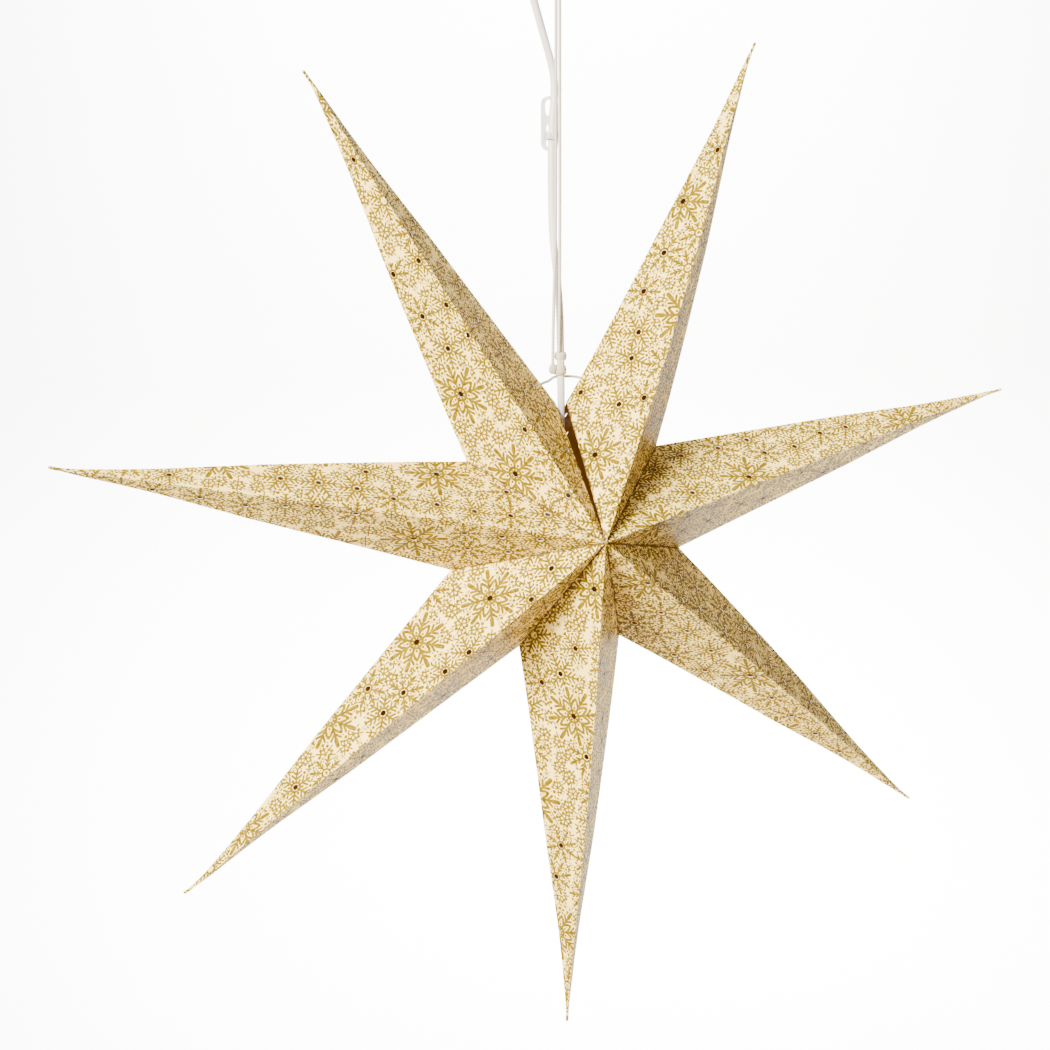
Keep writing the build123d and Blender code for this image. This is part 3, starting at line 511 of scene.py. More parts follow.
# %% Middles of the flakes by Geometry Nodes
GRID_SIZE, GRID_SPOTS, GRID_MIDDLE = 0.40, 81, Vector((0.18, 0.0))
SHEET_START, SHEET_STEP_X, SHEET_STEP_Y = 0.2, 0.57, 0.43
middles_tree, given, middles_keys = shape_tree("flake middles", Cell="Float", Loose="Float", Shift="Vector")
grid = add(
    middles_tree,
    "GeometryNodeMeshGrid",
    {"Size X": GRID_SIZE, "Size Y": GRID_SIZE, "Vertices X": GRID_SPOTS, "Vertices Y": GRID_SPOTS},
)
here = add(middles_tree, "GeometryNodeInputPosition")
moved = add(middles_tree, VECTORS, {0: here, 1: given["Shift"]}, operation="ADD")
rate = add(middles_tree, MATHS, {0: 1.0, 1: given["Cell"]}, operation="DIVIDE")
dealt = {"Vector": moved, "Scale": rate, "Randomness": given["Loose"]}
cells = add(middles_tree, "ShaderNodeTexVoronoi", dealt, voronoi_dimensions="2D").outputs
kept = add(
    middles_tree,
    "GeometryNodeStoreNamedAttribute",
    {"Geometry": grid, "Name": "middle", "Value": cells["Position"]},
    data_type="FLOAT_VECTOR",
    domain="POINT",
)
add(middles_tree, "NodeGroupOutput", {0: kept})


def flake_middles(layer, spot):
    """The middles of a layer's flakes under a grid round a place of its pattern."""
    host = mesh_piece("middles_host", [(0, 0, 0)], [])
    mesh = shaped(host, middles_tree, middles_keys, Cell=layer[0], Loose=layer[1], Shift=(*spot, 0.0))
    found = {}
    for entry in mesh.attributes["middle"].data:
        found[round(entry.vector[0], 5), round(entry.vector[1], 5)] = Vector(entry.vector[:2])
    bpy.data.meshes.remove(mesh)
    return list(found.values())


def sheet_shift(number):
    """Where a point's sheet lies on the endless print."""
    return Vector((SHEET_STEP_X * number + SHEET_START, SHEET_STEP_Y * number))


def sheet_holes(number):
    """Hole middles on a point's flat sheet, the tip at the origin and the front ridge along +X."""
    holes = []
    for layer in (LARGE, MIDDLE):
        base = sheet_shift(number) + Vector(layer[2][:2])
        spots = [spot - base for spot in flake_middles(layer, base + GRID_MIDDLE)]
        holes += [spot for spot in spots if all((spot - large).length > LARGE_ROOM for large in holes)]
    return holes


print(len(sheet_holes(1)), "holes near the first sheet")

# %% [markdown]
# ## Punched facets
# Each facet is cut from the flat sheet. Its outline is a curve, the holes are circles set on their
# middles, and Fill Curve makes the card between them in one step, which a boolean on a folded mesh would
# do less cleanly.

# %% Punched facet by Geometry Nodes
HOLE_RADIUS, HOLE_SIDES = 0.0021, 14
punch_inputs = {"Middles": "Object", "Radius": "Float", "Card": "Material"}
punch_tree, given, punch_keys = shape_tree("punched facet", **punch_inputs)
spots = add(punch_tree, "GeometryNodeObjectInfo", {"Object": given["Middles"]}).outputs["Geometry"]
ring = {"Resolution": HOLE_SIDES, "Radius": given["Radius"]}
circle = add(punch_tree, "GeometryNodeCurvePrimitiveCircle", ring)
punched = add(punch_tree, "GeometryNodeInstanceOnPoints", {"Points": spots, "Instance": circle})
real = add(punch_tree, "GeometryNodeRealizeInstances", {0: punched})
joined = add(punch_tree, "GeometryNodeJoinGeometry", {0: given["Geometry"]})
feed(punch_tree, joined, {0: real})
filled = add(punch_tree, "GeometryNodeFillCurve", {0: joined})
painted = add(punch_tree, "GeometryNodeSetMaterial", {0: filled, "Material": given["Card"]})
add(punch_tree, "NodeGroupOutput", {0: painted})
RIDGE_PARTS, SEAM_PARTS, EDGE_ROOM = 36, 12, 0.0034
# Places along a fold from the tip, as shares of its length: closer together where the tip is drawn out.
FOLD_SHARES = [0.0, 0.003, 0.008, 0.016] + [i / RIDGE_PARTS for i in range(1, RIDGE_PARTS)]


def curve_object(name, kind, lines, **settings):
    """A curve of closed straight outlines (POLY) or of smooth open lines (NURBS)."""
    data = bpy.data.curves.new(name, "CURVE")
    for setting, value in settings.items():
        setattr(data, setting, value)
    for line in lines:
        spline = data.splines.new(kind)
        spline.points.add(len(line) - 1)
        for point, spot in zip(spline.points, line):
            point.co = (*spot, 0, 1) if len(spot) == 2 else (*spot, 1)
        if kind == "POLY":
            spline.use_cyclic_u = True
        else:
            spline.order_u = 3
            spline.use_endpoint_u = True
            spline.resolution_u = data.resolution_u
    return new_object(name, data)


def flat_corner(edge):
    """The outer end of a fold on the flat sheet."""
    angle, length = FAN[edge]
    return Vector((length * math.cos(angle), length * math.sin(angle)))


def inside_facet(spot, edge):
    """Whether a hole at this place keeps off the facet's three sides."""
    corners = [Vector((0, 0)), flat_corner(edge), flat_corner(edge + 1)]
    for a, b in zip(corners, corners[1:] + corners[:1]):
        way = (b - a).normalized()
        if way.x * (spot - a).y - way.y * (spot - a).x < EDGE_ROOM:
            return False
    return True


def punched_facet(edge, holes):
    """The flat mesh of one facet between two folds of the fan, and the number of its holes."""
    first, second = flat_corner(edge), flat_corner(edge + 1)
    outline = [first * share for share in FOLD_SHARES]
    outline += [first.lerp(second, i / SEAM_PARTS) for i in range(SEAM_PARTS)]
    outline += [second] + [second * share for share in reversed(FOLD_SHARES[1:])]
    host = curve_object("facet_outline", "POLY", [outline], dimensions="2D", fill_mode="NONE")
    marks = mesh_piece("hole_marks", [(*spot, 0) for spot in holes if inside_facet(spot, edge)], [])
    count = len(marks.data.vertices)
    mesh = shaped(host, punch_tree, punch_keys, Middles=marks, Radius=HOLE_RADIUS, Card=printed_card)
    bpy.data.objects.remove(marks)
    return mesh, count


mesh, count = punched_facet(2, sheet_holes(1))
print("a facet with", count, "holes and", len(mesh.polygons), "triangles")

# %% [markdown]
# ## Folding
# Each flat facet is laid on its plane of the pyramid, and the four are welded along their folds. Strips
# on the two sides that face the neighbours are the glue flaps. The long thin tips are pinched in folding
# and never stay quite straight, so each ends in a narrow tail and bends a little its own way. Solidify
# then gives the card its thickness, with the inside painted brown as painted shade and glow.

# %% Tips pinched and bent
# For each point: how far its tip swings aside and stretches, and the hook at its very end, in mm.
BENDS = {
    1: (-12.4, 5.8, 1.4),
    2: (0.3, 2.9, 0.4),
    3: (6.3, -2.8, -0.8),
    4: (6.6, -0.7, 0.2),
    5: (-0.4, -1.3, 2.0),
    6: (-2.9, -2.7, 1.4),
    7: (2.0, -1.2, -1.5),
}
# Along a point, from the centre at 0 to the tip at 1: where the sway and the hook begin, how long they are
# and how they grow, and the share of the straight pyramid's width that is left.
SWAY_START, SWAY_SPAN, SWAY_POWER = 0.3, 0.7, 1.4
HOOK_START, HOOK_SPAN, HOOK_POWER = 0.93, 0.07, 2
TAPER = ((0.62, 1.0), (0.73, 0.93), (0.80, 0.85), (0.87, 0.80), (1.0, 0.80))
POINT_SLOPE = VALLEY_RADIUS * math.sin(HALF_STEP) / (TIP_RADIUS - VALLEY_RADIUS * math.cos(HALF_STEP))
MM = 0.001
TAIL_HALF, TAIL_END = 0.0011, 0.0008  # half the width of the pinched tail, and the length of its blunt end


def slimmed(along):
    """The share of the straight pyramid's width at a place along a point."""
    share = 1.0
    for (start, wide), (end, slim) in zip(TAPER, TAPER[1:]):
        if along > start:
            share = wide + (slim - wide) * min(1.0, (along - start) / (end - start))
    to_tip = max(TIP_RADIUS * (1 - along), TAIL_END)
    return max(share, TAIL_HALF / (POINT_SLOPE * to_tip))


def bent(place, number):
    """A place on a point after its tip has been pinched thin and has bent aside."""
    outward, aside = point_axes(number)
    along = (place - STAR_CENTRE).dot(outward) / TIP_RADIUS
    axis = STAR_CENTRE + (outward * TIP_RADIUS + Vector((0, TIP_SETBACK, 0))) * along
    place = axis + (place - axis) * slimmed(along)
    sway = max(0.0, (along - SWAY_START) / SWAY_SPAN) ** SWAY_POWER
    hook = max(0.0, (along - HOOK_START) / HOOK_SPAN) ** HOOK_POWER
    swing, stretch, curl = BENDS[number]
    return place + (aside * (swing * sway + curl * hook) + outward * stretch * sway) * MM


print("share of the width left at the middle and near the tip:", slimmed(0.5), round(slimmed(0.9), 2))

# %% Fold and flaps
CARD, FLAP_WIDTH, WELD = 0.0004, 0.008, 1e-5


def stand_for(piece, body, slot, *nodes):
    """Let a piece ride on a body and stand for CAD nodes; the slot is not used."""
    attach(piece, body)
    if nodes:
        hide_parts(*nodes)


def flap_strip(shell, start, end, inner_start, inner_end):
    """A strip of card along a seam, from the seam inward."""
    rows = []
    for a, b in ((start, end), (inner_start, inner_end)):
        rows.append([shell.verts.new(a.lerp(b, i / SEAM_PARTS)) for i in range(SEAM_PARTS + 1)])
    outer, inner = rows
    return [shell.faces.new((outer[i], outer[i + 1], inner[i + 1], inner[i])) for i in range(SEAM_PARTS)]


def folded_point(number):
    """One point of the star, folded from its punched sheet; gives the number of its holes."""
    tip, front, rear, left, right = point_corners(number)
    ends = [rear, left, front, right, rear]
    holes, shift = sheet_holes(number), sheet_shift(number)
    middle_of_point = STAR_CENTRE.lerp(tip, 0.4)
    punched_count = 0
    shell = bmesh.new()
    print_map = shell.loops.layers.uv.new("print")
    seam_map = shell.loops.layers.uv.new("seam")
    for edge in range(4):
        mesh, count = punched_facet(edge, holes)
        punched_count += count
        a, b = flat_corner(edge), flat_corner(edge + 1)
        start, end = ends[edge] - tip, ends[edge + 1] - tip
        across = a.x * b.y - a.y * b.x
        seam_way = (b - a).normalized()
        spots = [v.co.to_2d() for v in mesh.vertices]
        made = []
        for spot in spots:
            share_a = (spot.x * b.y - spot.y * b.x) / across
            share_b = (a.x * spot.y - a.y * spot.x) / across
            made.append(shell.verts.new(tip + start * share_a + end * share_b))
        outwards = tip.lerp(ends[edge], 0.5).lerp(ends[edge + 1], 0.3) - middle_of_point
        outside = start.cross(end).dot(outwards) > 0
        for polygon in mesh.polygons:
            order = list(polygon.vertices)
            if (polygon.normal.z > 0) != outside:
                order.reverse()
            face = shell.faces.new([made[i] for i in order])
            for loop, i in zip(face.loops, order):
                from_seam = spots[i] - a
                off_seam = abs(seam_way.x * from_seam.y - seam_way.y * from_seam.x)
                loop[print_map].uv = spots[i] + shift
                loop[seam_map].uv = (off_seam, seam_way.dot(from_seam))
        bpy.data.meshes.remove(mesh)
    inner_share = 1 - FLAP_WIDTH * math.hypot(VALLEY_RADIUS, HALF_DEPTH) / (HALF_DEPTH * VALLEY_RADIUS)
    aside = point_axes(number)[1]
    glued = {1: [right], POINTS: [left]}.get(number, [left, right])  # the slot's two sides have no flap
    for valley in glued:
        away = aside if (valley - STAR_CENTRE).dot(aside) > 0 else -aside
        inner_valley = STAR_CENTRE.lerp(valley, inner_share)
        for apex in (front, rear):
            for face in flap_strip(shell, apex, valley, STAR_CENTRE.lerp(apex, inner_share), inner_valley):
                face.normal_update()
                face.material_index = 2
                if face.normal.dot(away) < 0:
                    face.normal_flip()
    bmesh.ops.remove_doubles(shell, verts=shell.verts, dist=WELD)
    for vertex in shell.verts:
        vertex.co = bent(vertex.co, number)
    piece = mesh_piece(f"folded_point_{number}", [], [], printed_card, inside_shade_and_glow, cut_edge, inside_shade_and_glow)
    shell.to_mesh(piece.data)
    shell.free()
    thick = piece.modifiers.new("card", "SOLIDIFY")
    thick.thickness, thick.offset, thick.use_even_offset = CARD, -1.0, True
    thick.material_offset, thick.material_offset_rim = 1, 2
    stand_for(piece, "star", "printed_card", f"star_point_{number}")
    return punched_count


print("holes in each point:", [folded_point(number) for number in range(1, POINTS + 1)])

# %% [markdown]
# ## String
# The star hangs on a thin braided polyester string. A braid is two sets of strands that wind both ways
# round a core, so the tube below swells and sinks on two crossing families of spirals. It follows the
# line of a smooth NURBS spline whose control points are the route of the frame's string.


# %% Spline points and tubes
def spline_points(route, resolution):
    """Points along the smooth NURBS spline of a route."""
    mesh = plain_mesh(curve_object("route", "NURBS", [route], dimensions="3D", resolution_u=resolution))
    points = [v.co.copy() for v in mesh.vertices]
    bpy.data.meshes.remove(mesh)
    return points


def line_length(points):
    """The length of a line of points."""
    return sum((b - a).length for a, b in zip(points, points[1:]))


def even_points(points, step, closed=False):
    """The same line with points at an even step."""
    line = points + points[:1] if closed else points
    marks = [0.0]
    for a, b in zip(line, line[1:]):
        marks.append(marks[-1] + (b - a).length)
    count = max(2, round(marks[-1] / step))
    made, j = [], 0
    for i in range(count + (0 if closed else 1)):
        wanted = marks[-1] * i / count
        while j < len(line) - 2 and marks[j + 1] < wanted:
            j += 1
        span = marks[j + 1] - marks[j]
        made.append(line[j].lerp(line[j + 1], (wanted - marks[j]) / span if span else 0.0))
    return made


def ring_faces(rows, around, closed=False):
    """The faces between rows of vertices in rings."""
    faces = []
    for i in range(rows if closed else rows - 1):
        a, b = i * around, (i + 1) % rows * around
        for j in range(around):
            k = (j + 1) % around
            faces.append((a + j, a + k, b + k, b + j))
    return faces


def tube(name, points, swell, around, material, closed=False):
    """A tube along points; swell(along, angle) is its radius. Its UV map has metres along and turns."""
    count = len(points)
    ways = []
    for i in range(count):
        before = points[i - 1] if closed or i else points[0]
        after = points[(i + 1) % count] if closed or i < count - 1 else points[-1]
        ways.append((after - before).normalized())
    side = ways[0].orthogonal().normalized()
    sides = [side]
    for way in ways[1:]:
        side = (side - way * side.dot(way)).normalized()
        sides.append(side)
    twist = 0.0
    if closed:
        last = (sides[-1] - ways[0] * sides[-1].dot(ways[0])).normalized()
        twist = math.atan2(ways[0].dot(last.cross(sides[0])), last.dot(sides[0]))
    vertices, along, marks = [], 0.0, []
    for i, (point, way, side) in enumerate(zip(points, ways, sides)):
        if i:
            along += (point - points[i - 1]).length
        marks.append(along)
        other = way.cross(side)
        for j in range(around):
            angle = 2 * math.pi * j / around
            spun = angle + twist * i / count
            vertices.append(point + (side * math.cos(spun) + other * math.sin(spun)) * swell(along, angle))
    faces = ring_faces(count, around, closed)
    if not closed:
        faces.append(tuple(reversed(range(around))))
        faces.append(tuple((count - 1) * around + j for j in range(around)))
    piece = mesh_piece(name, vertices, faces, material)
    layer = piece.data.uv_layers.new(name="along")
    for polygon in piece.data.polygons:
        polygon.use_smooth = len(polygon.vertices) == 4
        for loop, corner in zip(polygon.loop_indices, polygon.vertices):
            layer.data[loop].uv = (marks[corner // around], corner % around / around)
    return piece


print("tube helpers ready")

# %% Braid
# The real braid has eight strands of a quarter millimetre, too fine to show, so four coarser ones are drawn.
BRAID_PITCH, BRAID_STRANDS, BRAID_LOW, BRAID_SWELL, FIBRE_RATE = 0.0050, 4, 0.8, 0.22, 900.0


def string_finish(name, dark, light, groove):
    """A braid's finish: fine fibres between two tones, and painted shade in the grooves where the strands
    cross.
    """
    material, tree, shader = new_finish(name, light, 0.75, Sheen_Weight=0.25)
    along = add(tree, "ShaderNodeUVMap", uv_map="along")
    parts = add(tree, "ShaderNodeSeparateXYZ", {0: along}).outputs
    phase = add(tree, MATHS, {0: parts[1], 1: BRAID_STRANDS * math.pi}, operation="MULTIPLY")
    crowns = []
    for lay in (-1, 1):
        wound = {0: parts[0], 1: lay * 2 * math.pi / BRAID_PITCH, 2: phase}
        wave = add(tree, MATHS, {0: add(tree, MATHS, wound, operation="MULTIPLY_ADD")}, operation="COSINE")
        crowns.append(add(tree, MATHS, {0: wave}, operation="ABSOLUTE"))
    crown = add(tree, MATHS, {0: crowns[0], 1: crowns[1]}, operation="MAXIMUM")
    lit = add(tree, RANGE, {"Value": crown, "From Min": 0.68, "From Max": 0.95})
    fibres = add(tree, NOISE, {"Vector": along, "Scale": FIBRE_RATE, "Detail": 2.0})
    tone = add(tree, MIX, {0: fibres, 6: linear(dark), 7: linear(light)}, data_type="RGBA")
    # Painted shade: away from the strands' crowns the tone turns to the darker groove colour.
    tone = add(tree, MIX, {0: lit, 6: linear(groove), 7: tone}, data_type="RGBA")
    bump = add(tree, "ShaderNodeBump", {"Height": fibres, "Strength": 0.3, "Distance": 0.0001})
    feed(tree, shader, {"Base Color": tone, "Normal": bump})
    return material


# The third colour of each finish is the painted shade in the braid's grooves.
string_fibre = string_finish("braided polyester string", "#D0C7B8", "#E6DFD3", "#8F8678")
knot_fibre = string_finish("string pulled into a knot", "#C2B79E", "#D6CCB4", "#A4987E")
tie_fibre = string_finish("waxed tie string", "#A8A498", "#BAB6AA", "#8E897D")


def braid(radius):
    """The radius of a braided string, which swells and sinks where its strands cross."""

    def swell(along, angle):
        turn = 2 * math.pi * along / BRAID_PITCH
        one = abs(math.cos(BRAID_STRANDS * angle / 2 + turn))
        two = abs(math.cos(BRAID_STRANDS * angle / 2 - turn))
        return radius * (BRAID_LOW + BRAID_SWELL * max(one, two))

    return swell


print("braid of", BRAID_STRANDS, "strands")

# %% The two strands and the loop
STRING_DIAMETER, TIE_DIAMETER, LEAD_DIAMETER = 0.0022, 0.0016, 0.0052
TUBE_STEP, STRING_SIDES, KNOT_SIDES, ROUTE_PARTS = 0.0005, 16, 14, 12
LAMP_AXIS = Vector((0.0025, 0.0, 0.0))
KNOT_PLACE = Vector((0.0, 0.0, -0.026))
KNOT_CLEAR = 0.0043  # the strands start this far from the knot's middle
FOOT_GAP = 0.0001  # between the right strand's foot and the lead
FOOT_OUT = (LEAD_DIAMETER / 2 + STRING_DIAMETER / 2 + FOOT_GAP) / math.sqrt(2)
string_routes = {
    "left": [
        (-0.0013, 0.0, -0.026),
        (-0.0019, -0.0026, -0.290),
        (-0.0044, -0.0028, -0.350),
        (-0.0040, -0.0010, -0.3865),
    ],
    "right": [
        (0.0013, 0.0, -0.026),
        (0.0007, -0.0028, -0.290),
        (-0.0004, -0.0038, -0.350),
        (LAMP_AXIS.x - FOOT_OUT, -FOOT_OUT, -0.3775),
    ],
}
loop_route = [
    (-0.0016, 0.0, -0.026),
    (-0.0041, 0.0, -0.013),
    (-0.0041, 0.0, 0.0011),
    (0.0041, 0.0, 0.0011),
    (0.0041, 0.0, -0.013),
    (0.0016, 0.0, -0.026),
]


def string_piece(name, node, body, route, diameter, material=string_fibre):
    """A braided string that follows a route."""
    points = even_points(spline_points(route, ROUTE_PARTS), TUBE_STEP)
    piece = tube(name, points, braid(diameter / 2), STRING_SIDES, material)
    stand_for(piece, body, "white_string", node)
    print(name, round(line_length(points), 4))


for side, route in string_routes.items():
    route = [Vector(spot) for spot in route]
    down = (route[1] - route[0]).normalized()
    route[0] += down * math.sqrt(KNOT_CLEAR**2 - (route[0] - KNOT_PLACE).length_squared)
    string_piece(f"braided_strand_{side}", f"string_strand_{side}", "pendant", route, STRING_DIAMETER)
string_piece("braided_hook_loop", "hanging_loop", "loop", loop_route, STRING_DIAMETER)

# %% [markdown]
# ## Lead
# The lamp's lead is a smooth white PVC cable, 5.2 mm across. It leaves the lampholder, runs up through
# the slot and the knots, and the length that the picture doesn't show is wound into a tied coil on the
# same hook. The whole lead is one spline: the coil's turns are more points of it.

# %% Lead route and coil
COIL_INNER, COIL_PITCH, COIL_LAYERS, COIL_TURNS, COIL_FRONT = 0.021, 0.0064, 4, 3.25, 0.004
COIL_OUTER = COIL_INNER + COIL_PITCH * COIL_TURNS
TAIL_DROP = 0.012
COIL_CENTRE = Vector((0.0, COIL_FRONT, LEAD_DIAMETER / 2 - COIL_INNER))
PARTS_A_TURN = 24
lead_route = [
    (0.0025, 0.0, -0.4576),
    (0.0025, 0.0, -0.3625),
    (0.0006, 0.0024, -0.326),
    (-0.0030, 0.0040, -0.294),
    (-0.0030, 0.0040, -0.224),
    (-0.0008, 0.0040, -0.206),
    (-0.0010, 0.0040, -0.191),
    (-0.0050, 0.0040, -0.176),
    (-0.0106, 0.0040, -0.158),
    (-0.0180, 0.0040, -0.133),
    (-0.0285, 0.0040, -0.104),
    (-0.0375, 0.0040, -0.075),
    (-0.0418, 0.0040, -0.047),
    (-0.0418, 0.0040, -0.0236),
]


def coil_route():
    """The coil's control points, layer after layer, out and in by turns."""
    widen = 1 / math.cos(math.pi / PARTS_A_TURN)  # a spline runs inside its control points
    radius, angle, depth = COIL_OUTER, 180.0, 0.0
    step = 360 / PARTS_A_TURN
    half = PARTS_A_TURN // 2
    route = []

    def put():
        cos, sin = math.cos(math.radians(angle)), math.sin(math.radians(angle))
        route.append(tuple(COIL_CENTRE + Vector((radius * widen * cos, depth, radius * widen * sin))))

    for layer in range(COIL_LAYERS):
        inward = -1 if layer % 2 == 0 else 1
        for _ in range(round(COIL_TURNS * PARTS_A_TURN)):
            put()
            angle -= step
            radius += inward * COIL_PITCH / PARTS_A_TURN
        start_depth = depth
        if layer < COIL_LAYERS - 1:
            for i in range(half):
                share = i / half
                depth = start_depth + COIL_PITCH * share * share * (3 - 2 * share)
                put()
                angle -= step
            depth = start_depth + COIL_PITCH
    put()
    return route


lead_route += coil_route()
tail_top = Vector((COIL_OUTER, COIL_FRONT + (COIL_LAYERS - 1) * COIL_PITCH, COIL_CENTRE.z))
plug_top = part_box("plug_body")[1].z
for height in (tail_top.z - TAIL_DROP, (tail_top.z + plug_top) / 2, plug_top):
    lead_route.append((tail_top.x, tail_top.y, height))
lead_sheath = mottled(
    "white PVC cable sheath", "#CFCCC6", "#E2DFDA", 0.36, 0.01, rub=2 / 9, relief=0, Coat_Weight=0.1
)
lamp_lead = curve_object(
    "lamp_lead",
    "NURBS",
    [lead_route],
    dimensions="3D",
    resolution_u=4,
    bevel_depth=LEAD_DIAMETER / 2,
    bevel_resolution=6,
    use_fill_caps=True,
)
lamp_lead.data.materials.append(lead_sheath)
stand_for(lamp_lead, "pendant", "white_pvc_lead", "lead", "lead_coil", "lead_tail")
print("lead of", len(lead_route), "points")

# %% [markdown]
# ## Finishes of the pieces that keep their solids
# The lampholder, the bulb and the strap are turned or moulded pieces whose solids are right as they are,
# and so are the plug's pins, so each keeps its node and gets the finish of its real material.


# %% Finishes for carried-over solids
def dress(material, *nodes):
    """Give CAD nodes their finish."""
    for name in nodes:
        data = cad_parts[name].data
        data.materials.clear()
        data.materials.append(material)


moulded_white = mottled("moulded white polycarbonate", "#E4E3DF", "#F2F1EE", 0.36, 0.002)
drawn_brass = mottled("drawn brass", "#A98438", "#C9A552", 0.3, 0.002, 1.0)
clear_glass = mottled("clear bulb glass", "#F4F6F6", "#FFFFFF", 0.03, 0.02, Transmission_Weight=1.0, IOR=1.5)
dress(moulded_white, "holder_cap", "holder_shell", "cord_grip")
dress(drawn_brass, "screw_sleeve", "centre_contact", "terminal_screws", "bulb_cap")
dress(clear_glass, "bulb_glass", "bulb_stem")
dress(mottled("nylon cable strap", "#D9D8D2", "#EDECE7", 0.5, 0.0015), "coil_strap")
dress(mottled("nickel-plated brass pin", "#A9A7A2", "#C4C2BD", 0.22, 0.001, 1.0), "plug_pins")
dress(mottled("steatite ceramic", "#D8D2C6", "#ECE7DD", 0.6, 0.0012), "contact_block")
dress(mottled("brown core insulation", "#4A2A14", "#5E381C", 0.42, 0.002), "live_core")
dress(mottled("blue core insulation", "#1A4A96", "#2459AC", 0.42, 0.002), "neutral_core")
dress(mottled("black glass insulator", "#0A0A0B", "#141416", 0.12, 0.002), "bulb_insulator")
dress(mottled("tin solder", "#9C9C9A", "#B9B9B6", 0.35, 0.0008, 1.0), "bulb_tip")
dress(mottled("phosphor filament", "#D9A520", "#F0C040", 0.55, 0.001), "bulb_filaments")
print("carried-over solids dressed")

# %% [markdown]
# ## Knots
# Each knot is string wound on itself. The two round the lead are pulled so tight that their turns make
# rounded lumps, one with a bight at its side, and two strands run from one to the other. The knots that
# stop a string are overhand knots, which follow the line of a trefoil.

# %% Overhand knots
UPRIGHT = Matrix.Rotation(math.radians(90), 3, "X")
TREFOIL_PARTS = 96


def overhand_knot(name, node, body, centre, reach, depth, radius):
    """A knot of braided string on the line of an upright trefoil."""
    points = []
    for i in range(TREFOIL_PARTS):
        t = 2 * math.pi * i / TREFOIL_PARTS
        x, y = math.sin(t) + 2 * math.sin(2 * t), math.cos(t) - 2 * math.cos(2 * t)
        flat = Vector((x, y, -math.sin(3 * t)))
        points.append(centre + UPRIGHT @ Vector((flat.x * reach / 3, flat.y * reach / 3, flat.z * depth)))
    points = even_points(points, TUBE_STEP, True)
    stand_for(tube(name, points, braid(radius), KNOT_SIDES, string_fibre, True), body, "white_string", node)


LOOP_KNOT = {"reach": 0.0031, "depth": 0.0013, "radius": 0.00115}
STOP_KNOTS = {"reach": 0.0017, "depth": 0.0009, "radius": 0.0008}
overhand_knot("overhand_loop_knot", "loop_knot", "loop", KNOT_PLACE, **LOOP_KNOT)
for side in ("left", "right"):
    low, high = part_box(f"stop_knot_{side}")
    middle = (low + high) / 2
    overhand_knot(f"overhand_stop_{side}", f"stop_knot_{side}", "star", middle, **STOP_KNOTS)
print("overhand knots tied")

# %% Knots pulled tight round the lead
KNOT_ROWS, KNOT_AROUND, KNOT_ROUND, KNOT_GROOVE = 30, 40, 2.3, 0.1


def pulled_knot(name, centre, shape, core, turns, *nodes):
    """A knot pulled tight: a rounded lump whose string shows as grooves wound round the shape's Z axis.

    The shape's matrix makes it of a lump with radius 1 and half height 1, and core is its ends' share of
    the radius.
    """
    vertices = []
    for i in range(KNOT_ROWS + 1):
        up = 2 * i / KNOT_ROWS - 1
        belly = core + (1 - core) * (1 - abs(up) ** KNOT_ROUND) ** (1 / KNOT_ROUND)
        for j in range(KNOT_AROUND):
            angle = 2 * math.pi * j / KNOT_AROUND
            crown = abs(math.sin(math.pi * (turns * i / KNOT_ROWS + j / KNOT_AROUND)))
            out = belly * (1 - KNOT_GROOVE * (1 - crown) ** 3)
            vertices.append(centre + shape @ Vector((out * math.cos(angle), out * math.sin(angle), up)))
    corners = [(i, j) for i in range(KNOT_ROWS) for j in range(KNOT_AROUND)]
    piece = mesh_piece(name, vertices, ring_faces(KNOT_ROWS + 1, KNOT_AROUND), knot_fibre)
    layer = piece.data.uv_layers.new(name="along")
    girth = 2 * math.pi * shape.col[0].length
    for polygon, (i, j) in zip(piece.data.polygons, corners):
        polygon.use_smooth = True
        square = ((i, j), (i, j + 1), (i + 1, j + 1), (i + 1, j))
        for loop, (row, step) in zip(polygon.loop_indices, square):
            share = step / KNOT_AROUND
            layer.data[loop].uv = (girth * share, (turns * row / KNOT_ROWS + share) / 2)
    stand_for(piece, "pendant", "white_string", *nodes)


# The two lumps: half width, how far left of the lead's axis, core, and turns.
for node, wide, aside, core, turns in (
    ("ring_knot", 0.0042, 0.0004, 0.62, 2.5),
    ("main_knot", 0.0046, 0.0009, 0.58, 2.5),
):
    low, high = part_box(node)
    knot_middle = Vector((LAMP_AXIS.x - aside, 0, (low.z + high.z) / 2))
    shape = Matrix.Diagonal((wide, wide, (high.z - low.z) / 2))
    pulled_knot(f"pulled_{node}", knot_middle, shape, core, turns, node)
# The bight of the main knot: turns round a level axis that leans, so that they show as a C on the left.
BIGHT_LEAN, BIGHT_OFF = math.radians(-78), Vector((-0.0056, -0.0012, 0.0009))
bight_shape = Matrix.Rotation(BIGHT_LEAN, 3, "Y") @ Matrix.Diagonal((0.0036, 0.0022, 0.0027))
pulled_knot("main_knot_bight", knot_middle + BIGHT_OFF, bight_shape, core=0.25, turns=2.0)
CAMERA_SIDE = -111  # degrees round the lead to the side that the camera sees
# Pulled strands sink into the soft lead and the knots.
STRAND_TURN, STRAND_OUT, STRAND_IN = 18, 0.0002, 0.001
for side, turn in (("left", -STRAND_TURN), ("right", STRAND_TURN)):
    angle = math.radians(CAMERA_SIDE + turn)
    out = LEAD_DIAMETER / 2 + STRAND_OUT
    foot = LAMP_AXIS + Vector((out * math.cos(angle), out * math.sin(angle), 0))
    heights = (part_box("ring_knot")[0].z + STRAND_IN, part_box("main_knot")[1].z - STRAND_IN)
    way = even_points([foot + Vector((0, 0, height)) for height in heights], TUBE_STEP)
    strand = tube(f"knot_strand_{side}", way, braid(STRING_DIAMETER / 2), KNOT_SIDES, string_fibre)
    stand_for(strand, "pendant", "white_string")
print("knots pulled tight")

